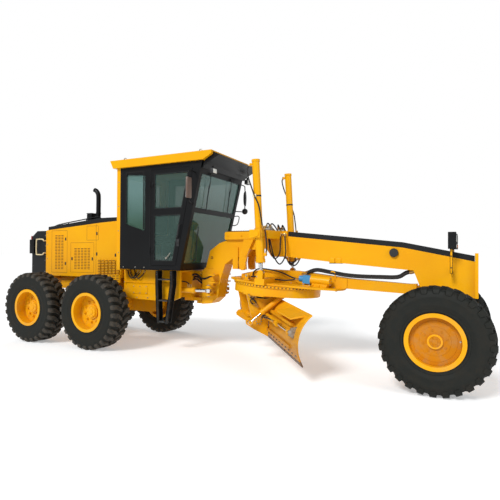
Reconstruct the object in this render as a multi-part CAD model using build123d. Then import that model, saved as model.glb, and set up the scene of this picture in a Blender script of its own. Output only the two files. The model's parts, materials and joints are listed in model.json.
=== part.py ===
from build123d import *
from math import asin, atan, cos, degrees, radians, sin, sqrt
import os

# Motor grader, about 15 t. Millimetres. X forward, Y to the machine's left, Z up, ground at 0.
# Every X below is measured from the centre between the two rear axles. save() moves each piece to the
# part's own origin, on the ground below the centre of the machine's length.

# ---- driving dimensions: wheels and axles ----
WHEELBASE = 6450            # centre of the rear axle pair to the front axle
TANDEM_SPACING = 1540       # between the two rear axles
REAR_TRACK = 2155
FRONT_TRACK = 2080
TYRE_RADIUS = 674
TYRE_WIDTH = 445
TREAD_WIDTH = 340
BEAD_RADIUS = 317.5         # seat of the tyre on the rim
RIM_WIDTH = 424
FLANGE_RADIUS = 352
FLANGE_WIDTH = 12
BARREL_WALL = 17
DISC_WALL = 20
REAR_DISC_DEPTH = 180       # disc's outer face, in from the outer flange
FRONT_DISC_DEPTH = 100
REAR_HUB_RADIUS = 130
FRONT_HUB_RADIUS = 80
REAR_SPINDLE_RADIUS = 70
FRONT_SPINDLE_RADIUS = 38
FRONT_CAP_RADIUS = 90
SEAT_FIT = 0.3              # between a part and the seat it is pressed or laid on
PIN_FIT = 0.5               # radial clearance of a turning pin
GAP = 5                     # running gap between moving pieces

REAR_END_X = -1600
FRONT_AXLE_X = WHEELBASE
ORIGIN_X = (REAR_END_X + WHEELBASE + TYRE_RADIUS) / 2

# ---- rear chassis ----
RAIL_Y = 300                # inner face of each chassis rail
RAIL_WIDTH = 120
RAIL_BOTTOM = 1000
RAIL_TOP = 1250
RAIL_REAR_X = -1500
BUMPER_WALL = 60
REAR_BOLT_SPACING_Y = 480   # four holes through the rear bumper
REAR_BOLT_SPACING_Z = 180
REAR_BOLT_RADIUS = 13
SIDE_PANEL_Y = 540          # outer face of the panel below the cab
SIDE_PANEL_WALL = 40
SIDE_PANEL_BOTTOM = 890
DECK_TOP = 1430
DECK_WALL = 30
BULKHEAD_X = 1000
HITCH_X = 2400              # vertical hinge between the two frames
HITCH_PIN_RADIUS = 40
HITCH_LUG_RADIUS = 90
HITCH_LUG_WALL = 60
HITCH_LOWER_Z = 865
HITCH_UPPER_Z = 1350
CHASSIS_FRONT_X = 2280
SPINE_Y = 170
CASE_INNER_Y = 610          # tandem chain case
CASE_OUTER_Y = 840
CASE_HALF_HEIGHT = 190
AXLE_BOX_TOP = 850

# ---- hood and radiator guard ----
HOOD_REAR_X = -1100
HOOD_FRONT_X = 950
HOOD_BEND_X = 380
HOOD_Y = 575
HOOD_BOTTOM = 1265
HOOD_REAR_TOP = 2215
HOOD_BEND_TOP = 2335
HOOD_FRONT_TOP = 2365
HOOD_WALL = 25
HOOD_EDGE_RADIUS = 40
HOOD_COVER_HEIGHT = 95
GUARD_REAR_X = -1540
GUARD_TOP = 2200
SIDE_BOX_REAR_X = 330
SIDE_BOX_FRONT_X = 1160
SIDE_BOX_Y = 640
SIDE_BOX_TOP = 1650
SIDE_BOX_BOTTOM = 1175
STACK_X = 100
STACK_Y = -300
STACK_RADIUS = 50
STACK_TOP = 3030

# ---- cab ----
CAB_REAR_X = 1100
CAB_REAR_WALL = 80
CAB_Y = 780
CAB_WALL = 50
CAB_BOTTOM = 1450
CAB_TOP = 3300
CAB_FLOOR = 60
CAB_FRONT_BOTTOM_X = 2430
CAB_FRONT_TOP_X = 2870
DOOR_REAR_X = 1795
DOOR_FRONT_BOTTOM_X = 2345
DOOR_FRONT_TOP_X = 2690
DOOR_BOTTOM = 1520
DOOR_TOP = 3220
DOOR_WALL = 45
DOOR_FRAME = 75
DOOR_BAR_BOTTOM = 2410
DOOR_BAR_TOP = 2520
GLASS_WALL = 6
GLASS_FIT = 0.5
WINDOW_RADIUS = 40
ROOF_REAR_X = 900
ROOF_FRONT_X = 3070
ROOF_Y = 840
ROOF_HEIGHT = 145
ROOF_TOP = CAB_TOP + ROOF_HEIGHT
VISOR_FRONT_X = 3200
LADDER_REAR_X = 1900
LADDER_FRONT_X = 2240
LADDER_INNER_Y = 600
LADDER_OUTER_Y = 730
LADDER_BOTTOM = 500

# ---- front frame ----
NECK_Y = 150                # half width of the gooseneck and beam
NECK_REAR_X = 2500
COVER_HEIGHT = 80
COVER_REAR_X = 4160
NOSE_BOTTOM = 1040
NOSE_FRONT_X = FRONT_AXLE_X + 480
NOSE_PLATE_WALL = 40
COVER_FRONT_X = NOSE_FRONT_X - NOSE_PLATE_WALL - 5
NOSE_PLATE_Y = 210
NOSE_PLATE_BOTTOM = 1140
NOSE_PLATE_TOP = 1760
NOSE_BOLT_SPACING_Y = 360
NOSE_BOLT_SPACING_Z = 400
NOSE_BOLT_RADIUS = 13

# ---- articulation cylinders ----
ARTIC_REAR_X = 1750
ARTIC_REAR_Y = 400
ARTIC_FRONT_X = 2740
ARTIC_FRONT_Y = 330
ARTIC_Z = 1080
ARTIC_FORK = 58             # half the gap between the ears that hold each cylinder
EAR_WALL = 30

# ---- front axle, lean and steering ----
KINGPIN_Y = 800
LEAN_PIVOT_Z = TYRE_RADIUS - 150
LEAN_BAR_X = 100            # ahead of the axle
LEAN_BAR_Z = TYRE_RADIUS + 126
TIE_ROD_X = -190            # behind the axle
TIE_ROD_Z = TYRE_RADIUS + 156
TIE_PIN_RADIUS = 12
KINGPIN_RADIUS = 25
ARM_HEIGHT = 25
TIE_BALL_RADIUS = 18
AXLE_HALF_DEPTH = 70

# ---- drawbar, circle and blade ----
BALL_X = FRONT_AXLE_X - 340
BALL_Z = 1240
BALL_RADIUS = 55
CIRCLE_BACK = BALL_X - 3924  # ball to circle centre, along the drawbar
DRAWBAR_RISE = 164.4        # over the length to the circle's centre
DRAWBAR_PITCH = degrees(atan(DRAWBAR_RISE / CIRCLE_BACK))
CIRCLE_DROP = 211           # circle's plane below the ball, square to the drawbar
CIRCLE_RADIUS = 745
CIRCLE_BORE = 620
CIRCLE_ABOVE = 50
CIRCLE_BELOW = 111
PLATE_WALL = 30
GEARBOX_LENGTH = 310
GEARBOX_REAR = 655          # circle drive's rear face, ahead of the circle's centre
GEARBOX_Y = -240
BLADE_ANGLE = 37.5          # right end forward
BLADE_LENGTH = 3965
BLADE_CHORD = 612
BLADE_SAGITTA = 107
BLADE_WALL = 22
BLADE_LEAN = 10.5           # top of the moldboard ahead of its bottom
BLADE_TOP_X = -36           # from the circle's axis, square to the blade
BLADE_TOP_Z = -184
BLADE_OFFSET = 101          # blade's middle toward the left end
EDGE_HEIGHT = 80
EDGE_WALL = 19
RAIL_HALF_LENGTH = 1720
RAIL_BACK_X = -245
RAIL_HEIGHT = 40
UPPER_RAIL_Z = -355
LOWER_RAIL_Z = -664
JAW_X = -225                # front of the jaws that hold the rails
BLADE_BACK_X = -240         # nearest the bracket may come to the moldboard
ARM_Y = 360
ARM_WALL = 40
HINGE_X = -400              # blade tip hinge, in the circle's frame
HINGE_Z = -540
HINGE_PIN_RADIUS = 30
BRACKET_WALL = 40
SHELF_INNER_Y = -1100       # ends of the sloping shelf behind the moldboard's right half
SHELF_OUTER_Y = -1760
TIP_Y = -535
TIP_TOP_X = -25
TIP_TOP_Z = -70
TIP_EYE_X = -560
TIP_EYE_Z = -550
TIP_BARREL_RADIUS = 42
SHIFT_X = -290
SHIFT_Z = -430
SHIFT_BARREL_END = -1150    # at the lug's side
SHIFT_BARREL_RADIUS = 42
SHIFT_ROD_RADIUS = 22
SHIFT_LUG_Y = -1700

# ---- blade lift cylinders ----
LIFT_Y = 720
LIFT_TRUNNION_X = 3887
LIFT_TRUNNION_Z = 2050
LIFT_EYE_BACK = CIRCLE_BACK + 10  # rod's eye, along the drawbar from the ball
LIFT_EYE_UP = 35
LIFT_BARREL_RADIUS = 60
LIFT_ROD_RADIUS = 32
LIFT_BARREL_ABOVE = 1180    # barrel's end above the trunnion
LIFT_BARREL_BELOW = 450
TRUNNION_RADIUS = 20

DRAWBAR_FRAME = Pos(BALL_X, 0, BALL_Z) * Rot(0, DRAWBAR_PITCH, 0)
CIRCLE_FRAME = DRAWBAR_FRAME * Pos(-CIRCLE_BACK, 0, -CIRCLE_DROP) * Rot(0, 0, BLADE_ANGLE)

# ==== shape helpers ====


def block(x, y, z):
    """Box between the two bounds given for each axis."""
    size = (x[1] - x[0], y[1] - y[0], z[1] - z[0])
    middle = ((x[0] + x[1]) / 2, (y[0] + y[1]) / 2, (z[0] + z[1]) / 2)
    return Pos(*middle) * Box(*size)


def rod(start, end, radius):
    """Round bar from one point to another."""
    axis = Vector(*end) - Vector(*start)
    return Plane(origin=start, z_dir=axis) * Pos(0, 0, axis.length / 2) * Cylinder(radius, axis.length)


def outline(points, radius=0):
    """Flat face in XZ from its corners, all rounded to one radius."""
    face = make_face(Polyline(*[(x, 0, z) for x, z in points], close=True))
    if radius:
        face = fillet(face.vertices(), radius)
    return face


def upright(face, y):
    """Face in XZ made solid between two Y."""
    return extrude(Pos(0, y[0], 0) * face, amount=y[1] - y[0], dir=(0, 1, 0))


def flat(points, z):
    """Corners in XY made solid between two Z."""
    face = make_face(Polyline(*[(x, y, z[0]) for x, y in points], close=True))
    return extrude(face, amount=z[1] - z[0], dir=(0, 0, 1))


def pair(shape):
    """A piece and its twin on the other side."""
    return shape + mirror(shape, about=Plane.XZ)


def save(name, shape):
    """Write one sub-part, moved to the part's own origin."""
    export_step(Pos(-ORIGIN_X, 0, 0) * shape, f"parts/{name}.step")


def artic_pin(x, y, radius):
    """Upright pin between the two ears of a left articulation bracket."""
    return rod((x, y, ARTIC_Z - ARTIC_FORK - EAR_WALL), (x, y, ARTIC_Z + ARTIC_FORK + EAR_WALL), radius)


# ==== rear chassis ====


def rear_frame():
    rails = pair(block((RAIL_REAR_X, BULKHEAD_X), (RAIL_Y, RAIL_Y + RAIL_WIDTH), (RAIL_BOTTOM, RAIL_TOP)))
    bumper = block((RAIL_REAR_X - BUMPER_WALL, RAIL_REAR_X), (-HOOD_Y, HOOD_Y), (RAIL_BOTTOM - 60, RAIL_TOP))
    middle = (RAIL_BOTTOM - 60 + RAIL_TOP) / 2
    for y in (-REAR_BOLT_SPACING_Y / 2, REAR_BOLT_SPACING_Y / 2):
        for z in (middle - REAR_BOLT_SPACING_Z / 2, middle + REAR_BOLT_SPACING_Z / 2):
            bumper -= rod((RAIL_REAR_X - BUMPER_WALL - 1, y, z), (RAIL_REAR_X + 1, y, z), REAR_BOLT_RADIUS)
    frame = rails + bumper
    for x in (-1150, -400, 400):
        frame += block((x, x + 120), (-RAIL_Y, RAIL_Y), (RAIL_BOTTOM + 40, RAIL_TOP - 90))
    frame += block((BULKHEAD_X, BULKHEAD_X + 40), (-SIDE_PANEL_Y, SIDE_PANEL_Y), (SIDE_PANEL_BOTTOM, DECK_TOP))
    frame += block((BULKHEAD_X, CHASSIS_FRONT_X), (-SIDE_PANEL_Y, SIDE_PANEL_Y), (DECK_TOP - DECK_WALL, DECK_TOP))
    panel = outline([
        (BULKHEAD_X, SIDE_PANEL_BOTTOM), (CHASSIS_FRONT_X - 200, SIDE_PANEL_BOTTOM - 20),
        (CHASSIS_FRONT_X, SIDE_PANEL_BOTTOM + 60), (CHASSIS_FRONT_X, DECK_TOP), (BULKHEAD_X, DECK_TOP)])
    frame += pair(upright(panel, (SIDE_PANEL_Y - SIDE_PANEL_WALL, SIDE_PANEL_Y)))
    frame += block((BULKHEAD_X, CHASSIS_FRONT_X), (-SPINE_Y, SPINE_Y), (HITCH_LOWER_Z + HITCH_LUG_WALL, DECK_TOP))
    for z in (HITCH_LOWER_Z, HITCH_UPPER_Z):
        lug = block((CHASSIS_FRONT_X - 200, HITCH_X), (-HITCH_LUG_RADIUS, HITCH_LUG_RADIUS), (z, z + HITCH_LUG_WALL))
        lug += rod((HITCH_X, 0, z), (HITCH_X, 0, z + HITCH_LUG_WALL), HITCH_LUG_RADIUS)
        frame += lug - rod((HITCH_X, 0, z), (HITCH_X, 0, z + HITCH_LUG_WALL), HITCH_PIN_RADIUS + PIN_FIT)
    for z in (ARTIC_Z - ARTIC_FORK - EAR_WALL, ARTIC_Z + ARTIC_FORK):
        frame += pair(block((ARTIC_REAR_X - 60, ARTIC_REAR_X + 60), (SPINE_Y, SIDE_PANEL_Y - 20), (z, z + EAR_WALL)))
    frame += pair(artic_pin(ARTIC_REAR_X, ARTIC_REAR_Y, 25))
    frame += pair(block((-220, 220), (RAIL_Y, RAIL_Y + RAIL_WIDTH), (AXLE_BOX_TOP, RAIL_BOTTOM)))
    for x in (HOOD_REAR_X + 150, HOOD_FRONT_X - 250):
        frame += pair(block((x, x + 100), (RAIL_Y + RAIL_WIDTH, HOOD_Y), (HOOD_BOTTOM - 70, HOOD_BOTTOM - SEAT_FIT)))
    return frame


def tandem_drive():
    half = TANDEM_SPACING / 2
    drive = block((-half, half), (CASE_INNER_Y, CASE_OUTER_Y), (TYRE_RADIUS - CASE_HALF_HEIGHT, TYRE_RADIUS + CASE_HALF_HEIGHT))
    for x in (-half, half):
        drive += rod((x, CASE_INNER_Y, TYRE_RADIUS), (x, CASE_OUTER_Y, TYRE_RADIUS), CASE_HALF_HEIGHT)
        end = REAR_TRACK / 2 + RIM_WIDTH / 2 - REAR_DISC_DEPTH - DISC_WALL - 40
        drive += rod((x, CASE_OUTER_Y, TYRE_RADIUS), (x, end, TYRE_RADIUS), REAR_SPINDLE_RADIUS)
    drive += rod((0, RAIL_Y + RAIL_WIDTH + 20, TYRE_RADIUS), (0, CASE_INNER_Y, TYRE_RADIUS), 230)
    drive = pair(drive)
    drive += block((-170, 170), (-RAIL_Y - RAIL_WIDTH - 20, RAIL_Y + RAIL_WIDTH + 20), (TYRE_RADIUS - 170, AXLE_BOX_TOP))
    return drive + rod((0, 0, TYRE_RADIUS - 190), (0, 0, AXLE_BOX_TOP), 240)


def hood_profile(inset):
    """Side view of the hood, its top and ends moved in by the inset."""
    return outline([
        (HOOD_REAR_X, HOOD_BOTTOM), (HOOD_FRONT_X - inset, HOOD_BOTTOM), (HOOD_FRONT_X - inset, HOOD_FRONT_TOP - inset),
        (HOOD_BEND_X, HOOD_BEND_TOP - inset), (HOOD_REAR_X, HOOD_REAR_TOP - inset)])


def engine_hood():
    shell = upright(hood_profile(0), (-HOOD_Y, HOOD_Y))
    top_edges = [edge for edge in shell.edges().filter_by(Axis.Y, reverse=True)
                 if edge.center().Z > HOOD_REAR_TOP - 60 and abs(edge.center().Y) > HOOD_Y - 1
                 and abs(edge.tangent_at(0.5).X) > 0.9]
    shell = fillet(top_edges, HOOD_EDGE_RADIUS)
    shell -= upright(hood_profile(HOOD_WALL), (-HOOD_Y + HOOD_WALL, HOOD_Y - HOOD_WALL))
    side_box = block((SIDE_BOX_REAR_X, HOOD_FRONT_X), (HOOD_Y, SIDE_BOX_Y - 30), (SIDE_BOX_BOTTOM, HOOD_BOTTOM + 60))
    return shell + pair(side_box)


def hood_cover():
    top = outline([
        (HOOD_REAR_X, HOOD_REAR_TOP), (HOOD_BEND_X, HOOD_BEND_TOP), (HOOD_FRONT_X, HOOD_FRONT_TOP),
        (HOOD_FRONT_X, HOOD_FRONT_TOP + HOOD_COVER_HEIGHT - 30), (HOOD_BEND_X, HOOD_BEND_TOP + HOOD_COVER_HEIGHT),
        (HOOD_REAR_X, HOOD_REAR_TOP + HOOD_COVER_HEIGHT - 25)])
    cover = Pos(0, 0, SEAT_FIT) * upright(top, (-HOOD_Y + 60, HOOD_Y - 60))
    return cover


def radiator_guard():
    side = outline([
        (GUARD_REAR_X, HOOD_BOTTOM), (HOOD_REAR_X - SEAT_FIT, HOOD_BOTTOM), (HOOD_REAR_X - SEAT_FIT, GUARD_TOP),
        (GUARD_REAR_X + 160, GUARD_TOP), (GUARD_REAR_X, GUARD_TOP - 120)])
    guard = upright(side, (-HOOD_Y + 10, HOOD_Y - 10))
    guard -= block((GUARD_REAR_X, GUARD_REAR_X + 70), (-400, 400), (HOOD_BOTTOM + 120, GUARD_TOP - 220))
    guard += block((REAR_END_X, GUARD_REAR_X), (-300, 300), (GUARD_TOP - 200, GUARD_TOP - 150))
    return guard


def engine():
    return block((-950, 750), (-RAIL_Y + SEAT_FIT, RAIL_Y - SEAT_FIT), (RAIL_TOP - 80, 2120))


def exhaust_stack():
    base = HOOD_BEND_TOP + HOOD_COVER_HEIGHT - 60
    stack = rod((STACK_X, STACK_Y, base), (STACK_X, STACK_Y, STACK_TOP - 110), STACK_RADIUS)
    stack += Pos(STACK_X, STACK_Y, STACK_TOP - 110) * Sphere(STACK_RADIUS)
    stack += rod((STACK_X, STACK_Y, STACK_TOP - 110), (STACK_X - 110, STACK_Y, STACK_TOP - 20), STACK_RADIUS)
    stack += block((STACK_X - 250, STACK_X - 75), (STACK_Y - 80, STACK_Y + 90), (base, base + 150))
    stack += block((STACK_X - 80, STACK_X), (STACK_Y - 30, STACK_Y + 30), (base, base + 90))
    return stack - hood_cover()


# ==== cab ====


def front_x(z):
    """X of the cab's leaning front face at a height."""
    share = (z - CAB_BOTTOM) / (CAB_TOP - CAB_BOTTOM)
    return CAB_FRONT_BOTTOM_X + share * (CAB_FRONT_TOP_X - CAB_FRONT_BOTTOM_X)


def door_front_x(z):
    """X of the door opening's leaning front edge at a height."""
    share = (z - DOOR_BOTTOM) / (DOOR_TOP - DOOR_BOTTOM)
    return DOOR_FRONT_BOTTOM_X + share * (DOOR_FRONT_TOP_X - DOOR_FRONT_BOTTOM_X)


def door_outline(inset, bottom, top, radius):
    """Outline within the door, between two heights, inset from its edges."""
    lean = inset * 1.02
    return outline([
        (DOOR_REAR_X + inset, bottom), (door_front_x(bottom) - lean, bottom),
        (door_front_x(top) - lean, top), (DOOR_REAR_X + inset, top)], radius)


def side_window():
    return outline([
        (CAB_REAR_X + 130, 2270), (DOOR_REAR_X - 120, 2130), (DOOR_REAR_X - 120, CAB_TOP - 160),
        (CAB_REAR_X + 130, CAB_TOP - 130)], WINDOW_RADIUS)


FRONT_WINDOWS = [           # bottom, top
    (CAB_BOTTOM + 110, 2440),
    (2520, CAB_TOP - 210),
]


def front_window(bottom, top, fit):
    """Opening through the leaning front, as a block along X."""
    half = CAB_Y - CAB_WALL - 30 - fit
    return block((CAB_FRONT_BOTTOM_X - 200, CAB_FRONT_TOP_X + 200), (-half, half), (bottom + fit, top - fit))


def rear_window(fit):
    return block(
        (CAB_REAR_X - CAB_REAR_WALL - 100, CAB_REAR_X + 20), (-520 + fit, 520 - fit), (2440 + fit, CAB_TOP - 150 - fit))


def cab_frame():
    side = outline([
        (CAB_REAR_X, CAB_BOTTOM), (front_x(CAB_BOTTOM), CAB_BOTTOM), (front_x(CAB_TOP), CAB_TOP), (CAB_REAR_X, CAB_TOP)])
    room = outline([
        (CAB_REAR_X - 10, CAB_BOTTOM + CAB_FLOOR), (front_x(CAB_BOTTOM + CAB_FLOOR) - CAB_WALL, CAB_BOTTOM + CAB_FLOOR),
        (front_x(CAB_TOP) - CAB_WALL, CAB_TOP), (CAB_REAR_X - 10, CAB_TOP)])
    cab = upright(side, (-CAB_Y, CAB_Y)) - upright(room, (-CAB_Y + CAB_WALL, CAB_Y - CAB_WALL))
    cab -= upright(side_window(), (-CAB_Y - 1, CAB_Y + 1))
    cab -= upright(door_outline(0, DOOR_BOTTOM, DOOR_TOP, WINDOW_RADIUS), (-CAB_Y - 1, CAB_Y + 1))
    for bottom, top in FRONT_WINDOWS:
        cab -= front_window(bottom, top, 0)
    cab += block((CAB_REAR_X + 60, CAB_FRONT_BOTTOM_X - 160), (-SIDE_PANEL_Y, SIDE_PANEL_Y), (DECK_TOP, CAB_BOTTOM))
    return cab


def cab_rear_wall():
    rear = CAB_REAR_X - CAB_REAR_WALL
    wall = block((rear, CAB_REAR_X), (-CAB_Y, CAB_Y), (DECK_TOP, CAB_TOP))
    wall -= block((rear + CAB_WALL, CAB_REAR_X), (-CAB_Y + 120, CAB_Y - 120), (CAB_BOTTOM + 60, CAB_TOP - 60))
    wall -= rear_window(0)
    return wall


def cab_roof():
    slab = outline([
        (ROOF_REAR_X, ROOF_TOP), (ROOF_REAR_X + 70, CAB_TOP + SEAT_FIT), (CAB_FRONT_TOP_X + 40, CAB_TOP + SEAT_FIT),
        (ROOF_FRONT_X, ROOF_TOP - 60), (ROOF_FRONT_X, ROOF_TOP)])
    return upright(slab, (-ROOF_Y, ROOF_Y))


def cab_visor():
    side = outline([
        (CAB_FRONT_TOP_X + SEAT_FIT, CAB_TOP - 130), (CAB_FRONT_TOP_X + 80, CAB_TOP - 60),
        (ROOF_FRONT_X + 60, ROOF_TOP - 110), (VISOR_FRONT_X, ROOF_TOP - 80), (ROOF_FRONT_X + SEAT_FIT, ROOF_TOP - 20),
        (ROOF_FRONT_X + SEAT_FIT, ROOF_TOP - 60), (CAB_FRONT_TOP_X + 41, CAB_TOP - 5)])
    visor = upright(side, (-CAB_Y, CAB_Y))
    return visor


def cab_glass():
    panes = pair(upright(offset(side_window(), -GLASS_FIT), (CAB_Y - 25 - GLASS_WALL, CAB_Y - 25)))
    inner = outline([
        (front_x(z) - depth, z) for z, depth in (
            (CAB_BOTTOM, 20 + GLASS_WALL), (CAB_BOTTOM, 20), (CAB_TOP, 20), (CAB_TOP, 20 + GLASS_WALL))])
    slab = upright(inner, (-CAB_Y, CAB_Y))
    for bottom, top in FRONT_WINDOWS:
        panes += slab & front_window(bottom, top, GLASS_FIT)
    rear = CAB_REAR_X - CAB_REAR_WALL
    panes += rear_window(GLASS_FIT) & block((rear + 20, rear + 20 + GLASS_WALL), (-CAB_Y, CAB_Y), (CAB_BOTTOM, CAB_TOP))
    return panes


def cab_door():
    """Left door: frame with a middle bar, and its two panes."""
    leaf = upright(door_outline(GAP + 1, DOOR_BOTTOM + GAP, DOOR_TOP - GAP, WINDOW_RADIUS), (CAB_Y - DOOR_WALL, CAB_Y))
    panes = []
    for bottom, top in ((DOOR_BOTTOM + DOOR_FRAME + 20, DOOR_BAR_BOTTOM), (DOOR_BAR_TOP, DOOR_TOP - DOOR_FRAME)):
        opening = door_outline(DOOR_FRAME, bottom, top, WINDOW_RADIUS)
        leaf -= upright(opening, (CAB_Y - DOOR_WALL - 1, CAB_Y + 1))
        panes.append(upright(offset(opening, -GLASS_FIT), (CAB_Y - 25 - GLASS_WALL, CAB_Y - 25)))
    for z in (DOOR_BOTTOM + 250, DOOR_TOP - 250):
        leaf += rod((DOOR_REAR_X, CAB_Y + 14, z), (DOOR_REAR_X, CAB_Y + 14, z + 90), 12)
        leaf += block((DOOR_REAR_X, DOOR_REAR_X + 60), (CAB_Y, CAB_Y + 14), (z, z + 90))
    leaf += rod((DOOR_REAR_X + 500, CAB_Y, 2460), (DOOR_REAR_X + 500, CAB_Y + 40, 2460), 14)
    leaf += block((DOOR_REAR_X + 400, DOOR_REAR_X + 510), (CAB_Y + 28, CAB_Y + 42), (2448, 2472))
    return Compound(children=[leaf] + panes)


def mirrors():
    """Mirror on each side, on a bent tube from two points of the cab's front corner."""
    x = front_x(CAB_TOP - 180) - 57
    y = CAB_Y + 225
    high = CAB_TOP - 240
    low = CAB_TOP - 740
    piece = block((x - 60, x - 30), (y - 95, y + 95), (CAB_TOP - 660, CAB_TOP - 320))
    piece += rod((x - 30, y, CAB_TOP - 490), (x, y, CAB_TOP - 490), 14) + rod((x, y, low), (x, y, high), 12)
    piece += rod((x, y, high), (x, CAB_Y, CAB_TOP - 180), 12)
    piece += rod((x, y, low), (front_x(CAB_TOP - 540) - 31, CAB_Y, CAB_TOP - 540), 12)
    return pair(piece - block((x - 200, x + 200), (-CAB_Y, CAB_Y + SEAT_FIT), (low, CAB_TOP)))


def seat_frame():
    base = block((1480, 1880), (-210, 210), (CAB_BOTTOM + CAB_FLOOR, CAB_BOTTOM + CAB_FLOOR + 60))
    base += block((1560, 1800), (-150, 150), (CAB_BOTTOM + CAB_FLOOR + 60, 1900))
    base += block((1440, 1920), (-240, 240), (1900, 1930))
    base += pair(block((1500, 1780), (262, 322), (2120, 2160)))
    base += pair(block((1480, 1520), (262, 302), (1900, 2120)))
    base += pair(block((1440, 1560), (240, 302), (1900, 1930)))
    return base


def seat_cushions():
    seat = block((1450, 1930), (-240, 240), (1930 + SEAT_FIT, 2050))
    back = Box(110, 460, 590)
    back = Pos(1452, 0, 2348.5) * Rot(0, -8, 0) * fillet(back.edges().filter_by(Axis.X), 60)
    return fillet(seat.edges().filter_by(Axis.Z), 60) + back


def control_console():
    floor = CAB_BOTTOM + CAB_FLOOR
    console = block((2140, 2270), (-90, 90), (floor, floor + 480))
    console += rod((2200, 0, floor + 400), (2110, 0, floor + 800), 45)
    wheel = Torus(190, 16) + Cylinder(30, 40) + Box(380, 30, 16) + Box(30, 380, 16)
    console += Pos(2105, 0, floor + 815) * Rot(0, -13, 0) * wheel
    console += block((2040, 2180), (-330, 330), (floor + 560, floor + 640))
    for y in range(-300, 301, 75):
        if abs(y) > 100:
            console += rod((2080, y, floor + 640), (2060, y, floor + 800), 9)
            console += Pos(2060, y, floor + 800) * Sphere(17)
    console += pair(block((2060, 2160), (60, 120), (floor + 300, floor + 570)))
    return console


def access_ladder():
    rail_rear = upright(outline([
        (LADDER_REAR_X, LADDER_BOTTOM), (LADDER_REAR_X + 45, LADDER_BOTTOM), (LADDER_REAR_X + 20, 1300),
        (LADDER_REAR_X + 45, DECK_TOP), (LADDER_REAR_X, DECK_TOP), (LADDER_REAR_X - 25, 1300)]),
        (LADDER_INNER_Y, LADDER_OUTER_Y))
    rail_front = upright(outline([
        (LADDER_FRONT_X - 105, LADDER_BOTTOM), (LADDER_FRONT_X - 60, LADDER_BOTTOM), (LADDER_FRONT_X, DECK_TOP),
        (LADDER_FRONT_X - 45, DECK_TOP)]), (LADDER_INNER_Y, LADDER_OUTER_Y))
    ladder = rail_rear + rail_front
    for z, front in ((LADDER_BOTTOM, 100), (LADDER_BOTTOM + 380, 75), (LADDER_BOTTOM + 760, 50)):
        ladder += block((LADDER_REAR_X + 20, LADDER_FRONT_X - front), (LADDER_INNER_Y, LADDER_OUTER_Y), (z, z + 35))
    for x in (LADDER_REAR_X, LADDER_FRONT_X - 50):
        ladder += block((x, x + 40), (SIDE_PANEL_Y, LADDER_INNER_Y + 10), (1250, 1380))
    return pair(ladder)


# ==== front frame ====

BEAM_LINE = [               # X, height of the beam's top
    (COVER_REAR_X, 2030),
    (5020, 1940),
    (FRONT_AXLE_X - 500, 1840),
    (COVER_FRONT_X, 1645),
]


def nose_plate():
    """Plate across the frame's front end, with four bolt holes outside the beam."""
    rear = NOSE_FRONT_X - NOSE_PLATE_WALL
    plate = block((rear, NOSE_FRONT_X), (-NOSE_PLATE_Y, NOSE_PLATE_Y), (NOSE_PLATE_BOTTOM, NOSE_PLATE_TOP))
    middle = (NOSE_PLATE_BOTTOM + NOSE_PLATE_TOP) / 2
    for y in (-NOSE_BOLT_SPACING_Y / 2, NOSE_BOLT_SPACING_Y / 2):
        for z in (middle - NOSE_BOLT_SPACING_Z / 2, middle + NOSE_BOLT_SPACING_Z / 2):
            plate -= rod((rear - 1, y, z), (NOSE_FRONT_X + 1, y, z), NOSE_BOLT_RADIUS)
    return plate


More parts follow.
